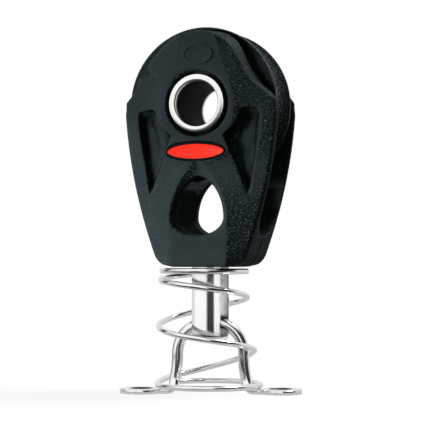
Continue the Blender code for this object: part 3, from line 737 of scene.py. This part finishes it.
# Near-black steel for the countersinks: painted shade in the screw recesses
sink_painted_shade = turned_metal(
    "screw_seat_painted_shade", (0.04, 0.04, 0.04), roughness=0.4, rings=900.0, depth=0.004 * MM)
pin_steel = turned_metal(
    "pin_steel", (0.75, 0.75, 0.74), roughness=0.2, rings=900.0, depth=0.004 * MM)
loop_steel = swept_metal(
    "polished_loop", (0.86, 0.86, 0.855), roughness=0.11, along=7.0, about=90.0, depth=0.002 * MM)
strap_steel = swept_metal(
    "polished_strap", (0.84, 0.84, 0.835), roughness=0.13, along=5.0, about=40.0, depth=0.004 * MM)
wire_steel = swept_metal(
    "drawn_spring_wire", (0.84, 0.84, 0.835), roughness=0.13, along=14.0, about=26.0,
    depth=0.006 * MM)


# Pieces of the block

def make_hub():
    """Hollow steel hub with a rounded inner lip and an eased outer rim at either end."""
    steps = 12
    profile = []
    for k in range(steps, -1, -1):
        angle = QUARTER * k / steps
        profile.append((HUB_BORE_RADIUS + HUB_LIP * (1 - math.sin(angle)),
                        HUB_HALF_LENGTH - HUB_LIP * (1 - math.cos(angle))))
    profile += [(HUB_RADIUS - inward, HUB_HALF_LENGTH - back) for inward, back in HUB_RIM]
    profile += [(radius, -along) for radius, along in reversed(profile)]
    hub = turned("steel_hub", profile, steps=160)
    dress(hub, hub_steel, "block", "polished_steel", "hub_bush")
    # The bore's faces get painted shade
    hub.data.materials.append(bore_painted_shade)
    for face in hub.data.polygons:
        reach = math.hypot(face.center.x, face.center.z - AXLE_HEIGHT)
        face.material_index = int(reach < HUB_BORE_RADIUS + BORE_SKIN)


def make_sheave():
    """Sheave with flat flanges and a round rope groove; the groove carries a lighter copy of the
    moulding as painted light, the flanges a darker copy as painted shade.
    """
    edge = SHEAVE_HALF_WIDTH
    steps = 12
    arc = (GROOVE_HALF_WIDTH ** 2 + GROOVE_DEPTH ** 2) / (2 * GROOVE_DEPTH)
    swing = math.asin(GROOVE_HALF_WIDTH / arc)
    floor = SHEAVE_RADIUS - GROOVE_DEPTH
    outer = [(SHEAVE_RADIUS - SHEAVE_EDGE, edge),
             (SHEAVE_RADIUS - SHEAVE_EDGE / 3, edge - SHEAVE_EDGE / 4),
             (SHEAVE_RADIUS - SHEAVE_EDGE / 8, edge - SHEAVE_EDGE)]
    for k in range(2 * steps + 1):
        angle = swing * (1 - k / steps)
        outer.append((floor + arc * (1 - math.cos(angle)), arc * math.sin(angle)))
    outer += [(radius, -along) for radius, along in reversed(outer[:3])]
    bore, chamfer = SHEAVE_BORE, SHEAVE_EDGE / 2
    profile = outer + [(bore + chamfer, -edge), (bore, chamfer - edge), (bore, edge - chamfer),
                       (bore + chamfer, edge)]
    sheave = turned("rope_sheave", profile, steps=160)
    dress(sheave, sheave_side_painted_shade, "sheave", "moulded_black", "sheave")
    sheave.data.materials.append(sheave_groove_painted_light)
    for face in sheave.data.polygons:
        face.material_index = int(abs(face.normal.y) < FLANGE_FACING)


def make_bearing():
    """Plain sleeve between the hub and the sheave."""
    inner, outer, half, chamfer = BEARING_INNER, BEARING_OUTER, BEARING_HALF, BEARING_CHAMFER
    profile = [(inner, half), (outer - chamfer, half), (outer, half - chamfer),
               (outer, chamfer - half), (outer - chamfer, -half), (inner, -half)]
    sleeve = turned("plain_bearing", profile, steps=96)
    dress(sleeve, bearing_plastic, "sheave", "bearing_grey", "bearing_sleeve")


def mark_shelter(thing, other):
    """Store at each point of a cheek how much of its view both cheeks shut in, which the moulding
    turns into painted shade.
    """
    mesh = thing.data
    form = bmesh.new()
    form.from_mesh(mesh)
    form.from_mesh(other.data)
    tree = BVHTree.FromBMesh(form)
    form.free()
    ways = []
    for k in range(SHELTER_RAYS):
        rise = 1 - (2 * k + 1) / SHELTER_RAYS
        turn = math.pi * (1 + math.sqrt(5)) * k
        flat = math.sqrt(1 - rise * rise)
        ways.append(Vector((flat * math.cos(turn), flat * math.sin(turn), rise)))
    store = mesh.attributes.new("shelter", "FLOAT", "POINT")
    for vertex in mesh.vertices:
        start = vertex.co + vertex.normal * CHEEK_GRID
        shut = total = 0.0
        for way in ways:
            share = way.dot(vertex.normal)
            if share > SHELTER_GRAZING:
                total += share
                if tree.ray_cast(start, way, SHELTER_REACH)[0]:
                    shut += share
        store.data[vertex.index].value = shut / total if total else 0.0


def make_cheeks():
    """The moulding with its edges rounded: meshed anew on a fine grid, relaxed, used twice."""
    cheek = cad_copy("front_cheek", "cheek_front")
    modify(cheek, "REMESH", mode="VOXEL", voxel_size=CHEEK_GRID, use_smooth_shade=True)
    ease_notch(cheek)
    modify(cheek, "SMOOTH", factor=0.5, iterations=CHEEK_PASSES)
    partner = turned_copy(cheek, "cheek_partner")
    mark_shelter(cheek, partner)
    bpy.data.meshes.remove(partner.data)
    rear = turned_copy(cheek, "cheek_rear")
    dress(cheek, charcoal, "block", "moulded_black", "front_cheek")
    dress(rear, charcoal, "block", "moulded_black", "rear_cheek")


def turned_copy(thing, name):
    """A copy turned half a turn about the vertical, its place in its mesh."""
    take(thing)
    bpy.ops.object.duplicate(linked=False)
    copy = named(name)
    copy.rotation_euler = (0.0, 0.0, math.pi)
    return settle(copy)


def ease_notch(cheek):
    """Let the scallop's notch fade from the edge towards the land."""
    near = cheek.vertex_groups.new(name="flank_by_notch")
    for vertex in cheek.data.vertices:
        across = abs(vertex.co.x)
        rise = vertex.co.z - AXLE_HEIGHT - NOTCH_RISE
        inner = min(max((NOTCH_EDGE - across) / NOTCH_FADE, 0.0), 1.0)
        level = max(1.0 - abs(rise) / NOTCH_SPREAD, 0.0)
        if inner * level > 0.0 and vertex.co.y < -NOTCH_DEPTH:
            near.add([vertex.index], inner * level, "REPLACE")
    modify(cheek, "SMOOTH", factor=0.5, iterations=NOTCH_PASSES, vertex_group="flank_by_notch")
    cheek.vertex_groups.clear()


def make_blank_oval(name, side):
    """Blank raised oval over the hub, with a rim."""
    thickness = OVAL_PROUD + OVAL_SUNK
    centre = (-side * OVAL_ACROSS, side * (LAND_FACE - OVAL_SUNK + thickness / 2), OVAL_HEIGHT)
    oval = oval_disc(name, centre, OVAL_HALF_WIDTH, OVAL_HALF_HEIGHT, thickness)
    pick_faces(oval, lambda face: face.normal.y * side > FRONT_FACING)
    bpy.ops.mesh.inset(thickness=OVAL_RIM, depth=0.0)
    bpy.ops.mesh.inset(thickness=OVAL_RIM / 3, depth=-OVAL_PROUD / 2)
    bpy.ops.object.mode_set(mode="OBJECT")
    modify(oval, "BEVEL", width=OVAL_ROUNDING, segments=3, limit_method="ANGLE",
           angle_limit=math.radians(20.0))
    smooth(oval, degrees=40.0)
    dress(oval, charcoal, "block", "moulded_black")


def make_badge(node_name, name, side):
    """Bare red enamel oval in a black border."""
    low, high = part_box(node_name)
    badge = oval_disc(name, (low + high) / 2, (high.x - low.x) / 2, (high.z - low.z) / 2,
                      high.y - low.y)
    pick_faces(badge, lambda face: face.normal.y * side > FRONT_FACING)
    bpy.ops.mesh.inset(thickness=BADGE_BORDER, depth=0.0)
    bpy.ops.mesh.inset(thickness=BADGE_STEP, depth=-BADGE_STEP)
    bpy.ops.object.mode_set(mode="OBJECT")
    inlay = [face.index for face in badge.data.polygons if face.select]
    dress(badge, badge_black, "block", "badge_red", node_name)
    badge.data.materials.append(badge_red)
    for index in inlay:
        badge.data.polygons[index].material_index = 1
    modify(badge, "BEVEL", width=BADGE_ROUNDING, segments=2, limit_method="ANGLE",
           angle_limit=math.radians(30.0))
    smooth(badge, degrees=40.0)


def strip_section():
    """Outline of the loop's bar: flat inside, crowned outside, with eased corners."""
    half, thick, ease = LOOP_HALF_WIDTH, LOOP_STRIP, LOOP_CORNER
    steps = 16
    points = [(-half + ease, -thick / 2), (half - ease, -thick / 2), (half, ease - thick / 2)]
    for k in range(2 * steps + 1):
        share = 1 - k / steps
        fall = LOOP_CROWN * abs(share) ** LOOP_CROWN_POWER
        points.append((half * share, thick / 2 - fall))
    points.append((-half, ease - thick / 2))
    return points


def flat_outline(name, points):
    """A flat closed curve object through the points."""
    curve = bpy.data.curves.new(name, "CURVE")
    curve.dimensions = "2D"
    line = curve.splines.new("POLY")
    line.points.add(len(points) - 1)
    for point, (across, up) in zip(line.points, points):
        point.co = (across, up, 0.0, 1.0)
    line.use_cyclic_u = True
    thing = bpy.data.objects.new(name, curve)
    bpy.context.scene.collection.objects.link(thing)
    return thing


def wire_curve(name, points):
    """A curve object of one open line through the points, with filled ends."""
    curve = bpy.data.curves.new(name, "CURVE")
    curve.dimensions = "3D"
    curve.use_fill_caps = True
    curve.twist_mode = "MINIMUM"
    line = curve.splines.new("POLY")
    line.points.add(len(points) - 1)
    for point, place in zip(line.points, points):
        point.co = (*place, 1.0)
    thing = bpy.data.objects.new(name, curve)
    bpy.context.scene.collection.objects.link(thing)
    return thing


def as_mesh(thing):
    """Turn a curve object into a closed mesh of the same name."""
    name = thing.name
    take(thing)
    bpy.ops.object.convert(target="MESH")
    thing = named(name)
    return outward(thing)


def make_loop():
    """Crowned bar swept down one leg, round the U under the rod and up the other leg."""
    section = flat_outline("bar_section", strip_section())
    middle = LOOP_HALF_GAP + LOOP_STRIP / 2
    bend = LOOP_BEND_RADIUS + LOOP_STRIP / 2
    floor = CROWN_HEIGHT - LOOP_DROP - LOOP_STRIP / 2
    height = LOOP_TOP - floor - bend
    steps = 16
    leg = [(middle, LOOP_TOP - height * k / steps) for k in range(steps)]
    for k in range(steps + 1):
        angle = QUARTER * k / steps
        leg.append((middle - bend + bend * math.cos(angle), floor + bend - bend * math.sin(angle)))
    route = [(0.0, y, z) for y, z in leg] + [(0.0, -y, z) for y, z in reversed(leg)]
    loop = wire_curve("steel_loop", route)
    loop.data.bevel_mode = "OBJECT"
    loop.data.bevel_object = section
    loop = as_mesh(loop)
    bpy.data.objects.remove(section)
    smooth(loop)
    dress(loop, loop_steel, "block", "polished_steel", "stem_loop")


def spring_point(turns):
    """Point of the wire's centre line after so many turns from the foot."""
    rise = smooth_line(SPRING_HEIGHT, turns)
    radius = smooth_line(SPRING_COIL, turns) * SPRING_FOOT_RADIUS
    lean = smooth_line(SPRING_LEAN, rise) * SPRING_LEAN_MOST
    angle = math.pi + 2 * math.pi * turns
    height = SPRING_FOOT_HEIGHT + (SPRING_TOP_HEIGHT - SPRING_FOOT_HEIGHT) * rise
    return radius * math.cos(angle) + lean, radius * math.sin(angle), height


def make_spring():
    """Coil of round wire between the strap and the block, its centre line leaning by a fixed amount.
    """
    steps = round(SPRING_TURNS * WIRE_STEPS_A_TURN)
    spring = wire_curve("coil_spring", [spring_point(SPRING_TURNS * k / steps)
                                        for k in range(steps + 1)])
    spring.data.bevel_depth = WIRE_RADIUS
    spring.data.bevel_resolution = 8
    spring = as_mesh(spring)
    modify(spring, "BEVEL", width=WIRE_END_ROUNDING, segments=3, limit_method="ANGLE",
           angle_limit=math.radians(60.0))
    smooth(spring, degrees=50.0)
    spring.data.materials.clear()
    spring.data.materials.append(wire_steel)
    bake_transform(spring)
    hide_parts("spring")


def arch_point(share):
    """Point of the strap's centre line in its own plane: 0 at the crown, 1 at the tip."""
    spring_line = CROWN_HEIGHT - ARCH_HALF_SPAN
    foot_x = ARCH_HALF_SPAN + LEG_FLARE
    flat = LUG_THICKNESS / 2
    if share <= ARCH_END:
        angle = QUARTER * (1 - share / ARCH_END)
        return (ARCH_HALF_SPAN * math.cos(angle) ** (2 / ARCH_POWER),
                spring_line + ARCH_HALF_SPAN * math.sin(angle) ** (2 / ARCH_POWER))
    if share <= LEG_END:
        t = (share - ARCH_END) / (LEG_END - ARCH_END)
        return (ARCH_HALF_SPAN + LEG_FLARE * t * t,
                spring_line + (flat + FOOT_RADIUS - spring_line) * t)
    if share <= BEND_END:
        angle = QUARTER * (share - LEG_END) / (BEND_END - LEG_END)
        return (foot_x + FOOT_RADIUS * (1 - math.cos(angle)),
                flat + FOOT_RADIUS * (1 - math.sin(angle)))
    t = (share - BEND_END) / (1.0 - BEND_END)
    start = foot_x + FOOT_RADIUS
    return start + (LUG_CENTRE + LUG_RADIUS - start) * t, flat


def strap_ring(share, way):
    """Ring round the strap: round on the arch, pressed flat and spread at the lug."""
    count = 48
    near = 0.004
    ahead = Vector(arch_point(min(share + near, 1.0)))
    behind = Vector(arch_point(max(share - near, 0.0)))
    bent = share < BEND_END - near / 4
    along = (ahead - behind).normalized() if bent else Vector((1.0, 0.0))
    centre = Vector(arch_point(share))
    flatness = smooth_line(STRAP_FLATNESS, share)
    neck = smooth_line(STRAP_NECK, share) * LUG_NECK
    into = abs(centre[0] - LUG_CENTRE)
    disc = math.sqrt(max(LUG_RADIUS ** 2 - into ** 2, 0.0)) if into < LUG_RADIUS else 0.0
    rod = ROD_RADIUS if share < STRAP_ROD_END else 0.0
    half_width = max(neck, disc, rod, LUG_THICKNESS / 4)
    half_height = ROD_RADIUS + (LUG_THICKNESS / 2 - ROD_RADIUS) * flatness
    squareness = 2.0 / (2.0 + STRAP_SQUARENESS * flatness)
    ring = []
    for k in range(count):
        angle = 2 * math.pi * k / count
        cosine, sine = math.cos(angle), math.sin(angle)
        across = math.copysign(abs(cosine) ** squareness, cosine) * half_width
        up = math.copysign(abs(sine) ** squareness, sine) * half_height
        ring.append((way * (centre[0] - along[1] * up), across, centre[1] + along[0] * up))
    return ring


def strap_shares():
    """Where the strap's rings stand, closer together where it bends and round the lug."""
    shares = [0.0]
    for end, steps in ((ARCH_END, 44), (LEG_END, 10), (BEND_END, 20)):
        begin = shares[-1]
        shares += [begin + (end - begin) * k / steps for k in range(1, steps + 1)]
    start = ARCH_HALF_SPAN + LEG_FLARE + FOOT_RADIUS
    reach = LUG_CENTRE + LUG_RADIUS
    rings = 45
    for k in range(rings + 1):
        across = LUG_CENTRE - LUG_RADIUS * math.cos(math.pi * k / rings)
        share = BEND_END + (1.0 - BEND_END) * (across - start) / (reach - start)
        if share > shares[-1] + STRAP_RING_GAP:
            shares.append(min(share, STRAP_LAST_RING))
    return shares


def make_strap():
    """Rod bent into an arch whose ends are pressed into lugs with countersunk holes."""
    shares = strap_shares()
    rings = [strap_ring(share, -1.0) for share in reversed(shares[1:])]
    rings += [strap_ring(share, 1.0) for share in shares]
    strap = skinned("deck_eye_strap", rings)
    modify(strap, "TRIANGULATE")
    for way in (-1.0, 1.0):
        for cutter in screw_cutters(way):
            modify(strap, "BOOLEAN", object=cutter, operation="DIFFERENCE", solver="EXACT")
            bpy.data.objects.remove(cutter)
    dress(strap, strap_steel, "base", "polished_steel", "eye_strap")
    # The countersink faces get painted shade
    strap.data.materials.append(sink_painted_shade)
    for face in strap.data.polygons:
        reach = math.hypot(abs(face.center.x) - LUG_CENTRE, face.center.y)
        face.material_index = int(reach < SCREW_HEAD_RADIUS and abs(face.normal.z) < LUG_FACING)
    strap.rotation_euler = (0.0, 0.0, STRAP_TURN)
    settle(strap)
    smooth(strap, degrees=35.0)


def screw_cutters(way):
    """The screw hole and its countersink in one lug."""
    deselect_all()
    bpy.ops.mesh.primitive_cylinder_add(vertices=96, radius=SCREW_HOLE_RADIUS,
                                        depth=4 * LUG_THICKNESS,
                                        location=(way * LUG_CENTRE, 0.0, 0.0))
    hole = settle(named("screw_hole"))
    sink = SCREW_HEAD_RADIUS - SCREW_HOLE_RADIUS
    depth = COUNTERSINK_SLOPE * sink + CUTTER_EXTRA
    height = LUG_THICKNESS + CUTTER_EXTRA - depth / 2
    deselect_all()
    bpy.ops.mesh.primitive_cone_add(vertices=96, radius1=SCREW_HOLE_RADIUS,
                                    radius2=SCREW_HEAD_RADIUS + CUTTER_EXTRA, depth=depth,
                                    location=(way * LUG_CENTRE, 0.0, height))
    return [hole, settle(named("countersink"))]


def make_pin():
    """Pin through the loop's legs, at the place of its solid."""
    low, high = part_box("head_pin")
    deselect_all()
    bpy.ops.mesh.primitive_cylinder_add(vertices=64, radius=(high.x - low.x) / 2,
                                        depth=high.y - low.y, location=(low + high) / 2,
                                        rotation=(QUARTER, 0.0, 0.0))
    pin = settle(named("loop_pin"))
    modify(pin, "BEVEL", width=PIN_CHAMFER, segments=3, limit_method="ANGLE")
    smooth(pin)
    dress(pin, pin_steel, "block", "polished_steel", "head_pin")


make_hub()
make_sheave()
make_bearing()
make_cheeks()
make_blank_oval("blank_oval_front", -1.0)
make_blank_oval("blank_oval_rear", 1.0)
make_badge("front_badge", "badge_front", -1.0)
make_badge("rear_badge", "badge_rear", 1.0)
make_loop()
make_pin()
make_strap()
make_spring()


# Floor, light and camera

FLOOR_RADIUS = 0.9
FLOOR_DROP = 0.05 * MM
FLOOR_SEEN = (0.95, 0.95, 0.95)
FLOOR_BOUNCE = (0.05, 0.05, 0.05)
FLOOR_NEAR_GLOW = 0.90
FLOOR_FADE = (0.05, 0.35)
FLOOR_PAINTED_REFLECTION = 0.62
FLOOR_IN_STEEL_FRONT = (-0.06, -0.015)
FLOOR_IN_STEEL_END = (0.27, 0.29)
ROOM_DARK = 0.03
ROOM_BACK = 0.85
ROOM_BACK_LIMITS = (0.10, 0.45)
ROOM_ABOVE_LIMITS = (0.5, 0.75)
ROOM_SOFTBOX = 1.14
WIDE_BOX = (-84.0, -16.0)
WIDE_BOX_FADE = (-62.0, -52.0)
WIDE_BOX_LEAST = 0.72
STRIP_BOX = (9.0, 31.0)
BETWEEN_BOXES = (-18.0, 11.0)
BETWEEN_LIMITS = (0.03, 0.09)
BOX_FOOT_LIMITS = (-0.16, -0.10)
FILL_SPAN = (-0.7, 0.4)
FILL_LEFT = 0.12
FILL_RIGHT = 0.01
CAMERA_PLACE = (0.2042, -0.5525, 0.0523)
CAMERA_TILT = math.radians(1.77)
CAMERA_TURN = math.radians(20.25)
CAMERA_LENS = 129.1
CAMERA_SENSOR = 36.0


def make_floor():
    """Pale floor that keeps the shadow near the block and fades into the white background; to glossy
    rays it glows as a painted reflection, dark in front and grey further back, and lets far rays
    through.
    """
    deselect_all()
    bpy.ops.mesh.primitive_circle_add(vertices=128, radius=FLOOR_RADIUS, fill_type="NGON",
                                      location=(0.0, 0.0, -FLOOR_DROP))
    floor = named("pale_floor")
    material, tree, shader = new_material("pale_floor")
    seen = node(tree, "ShaderNodeLightPath")
    tint = mixed(tree, seen.outputs["Is Camera Ray"], FLOOR_BOUNCE, FLOOR_SEEN)
    tree.links.new(tint, shader.inputs["Base Color"])
    shader.inputs["Roughness"].default_value = 0.9
    shader.inputs["Specular IOR Level"].default_value = 0.1
    place = object_place(tree)
    reach = node(tree, "ShaderNodeVectorMath", links={0: place}, operation="LENGTH").outputs["Value"]
    split = node(tree, "ShaderNodeSeparateXYZ", links={"Vector": place})

    glow = ramp(tree, reach, *FLOOR_FADE, least=FLOOR_NEAR_GLOW)
    share = math_of(tree, "MULTIPLY", seen.outputs["Is Camera Ray"], glow)
    white = node(tree, "ShaderNodeEmission", {"Color": WHITE})
    lit = node(tree, "ShaderNodeMixShader", links={"Fac": share, 1: shader.outputs["BSDF"],
                                                   2: white.outputs["Emission"]})

    # Painted reflection: what glossy rays see of the floor is a glow, dark in front and grey behind
    painted_reflection_level = ramp(tree, split.outputs["Y"], *FLOOR_IN_STEEL_FRONT, least=ROOM_DARK,
                 most=FLOOR_PAINTED_REFLECTION)
    grey = node(tree, "ShaderNodeEmission", {"Color": WHITE}, {"Strength": painted_reflection_level})
    clear = node(tree, "ShaderNodeBsdfTransparent")
    far = ramp(tree, reach, *FLOOR_IN_STEEL_END)
    painted_reflection = node(tree, "ShaderNodeMixShader", links={"Fac": far, 1: grey.outputs["Emission"],
                                                        2: clear.outputs["BSDF"]})
    blend = node(tree, "ShaderNodeMixShader", links={"Fac": seen.outputs["Is Glossy Ray"],
                                                     1: lit.outputs["Shader"],
                                                     2: painted_reflection.outputs["Shader"]})
    tree.links.new(blend.outputs["Shader"], tree.nodes["Material Output"].inputs["Surface"])
    floor.data.materials.append(material)


def sector(tree, turn, limits, soft):
    """One where the turn lies between two limits in degrees, zero outside."""
    low, high = (math.radians(limit) for limit in limits)
    edge = math.radians(soft)
    rise = ramp(tree, turn, low - edge, low + edge)
    fall = ramp(tree, turn, high + edge, high - edge)
    return math_of(tree, "MULTIPLY", rise, fall)


def room_reflection(tree, split):
    """What steel mirrors: two softboxes in front that join above, and a pale back and ceiling."""
    across, along, up = (split.outputs[axis] for axis in "XYZ")
    turn = math_of(tree, "ARCTAN2", across, math_of(tree, "MULTIPLY", along, -1.0))
    falloff = ramp(tree, turn, *(math.radians(limit) for limit in WIDE_BOX_FADE),
                   least=WIDE_BOX_LEAST)
    wide = math_of(tree, "MULTIPLY", sector(tree, turn, WIDE_BOX, soft=2.0), falloff)
    strip = sector(tree, turn, STRIP_BOX, soft=2.0)
    joined = math_of(tree, "MULTIPLY", sector(tree, turn, BETWEEN_BOXES, soft=1.0),
                     ramp(tree, up, *BETWEEN_LIMITS))
    boxes = math_of(tree, "MAXIMUM", math_of(tree, "MAXIMUM", wide, strip), joined)
    front = math_of(tree, "MULTIPLY", boxes, ramp(tree, up, *BOX_FOOT_LIMITS))
    back = math_of(tree, "MAXIMUM", ramp(tree, along, *ROOM_BACK_LIMITS),
                   ramp(tree, up, *ROOM_ABOVE_LIMITS))
    pale = ramp(tree, back, 0.0, 1.0, ROOM_DARK, ROOM_BACK, kind="LINEAR")
    bright = math_of(tree, "MULTIPLY", front, ROOM_SOFTBOX)
    return math_of(tree, "MAXIMUM", pale, bright)


def make_world():
    """White where it is seen straight or through the bore, and the studio in reflections."""
    world = bpy.data.worlds.new("studio")
    bpy.context.scene.world = world
    world.use_nodes = True
    tree = world.node_tree
    back = tree.nodes["Background"]
    back.inputs["Color"].default_value = WHITE
    seen = node(tree, "ShaderNodeLightPath")
    way = node(tree, "ShaderNodeTexCoord")
    split = node(tree, "ShaderNodeSeparateXYZ", links={"Vector": way.outputs["Generated"]})
    fill = ramp(tree, split.outputs["X"], *FILL_SPAN, least=FILL_LEFT, most=FILL_RIGHT)
    level = node(tree, "ShaderNodeMix", links={"Factor": seen.outputs["Is Glossy Ray"], "A": fill,
                                               "B": room_reflection(tree, split)})
    straight = math_of(tree, "MAXIMUM", seen.outputs["Is Camera Ray"],
                       seen.outputs["Is Transmission Ray"])
    shown = node(tree, "ShaderNodeMix", {"B": 1.0}, {"Factor": straight, "A": level.outputs["Result"]})
    tree.links.new(shown.outputs["Result"], back.inputs["Strength"])


def make_lamp(name, place, aim, size, power, glossy, spread=180.0):
    """A rectangular softbox that stands at a place and looks at another."""
    lamp = bpy.data.lights.new(name, "AREA")
    lamp.spread = math.radians(spread)
    lamp.shape = "RECTANGLE"
    lamp.size = size[0]
    lamp.size_y = size[1]
    lamp.energy = power
    thing = bpy.data.objects.new(name, lamp)
    thing.location = place
    thing.rotation_euler = (Vector(aim) - Vector(place)).to_track_quat("-Z", "Y").to_euler()
    thing.visible_glossy = glossy
    bpy.context.scene.collection.objects.link(thing)


def make_camera():
    """The camera at the photograph's view."""
    camera = bpy.data.cameras.new("camera")
    camera.lens = CAMERA_LENS
    camera.sensor_width = CAMERA_SENSOR
    camera.dof.use_dof = False
    thing = bpy.data.objects.new("camera", camera)
    thing.location = CAMERA_PLACE
    thing.rotation_euler = (QUARTER + CAMERA_TILT, 0.0, CAMERA_TURN)
    bpy.context.scene.collection.objects.link(thing)
    bpy.context.scene.camera = thing


make_floor()
make_world()
make_lamp("overhead_softbox", place=(0.32, 0.18, 0.66), aim=(0.0, 0.0, 0.10), size=(0.2, 0.2),
          power=6.0, glossy=True)
make_lamp("left_softbox", place=(-0.60, -0.42, 0.04), aim=(-0.05, -0.02, 0.03), size=(0.3, 0.12),
          power=0.64, glossy=False, spread=26.0)
make_camera()

bpy.context.scene.view_settings.view_transform = "Standard"
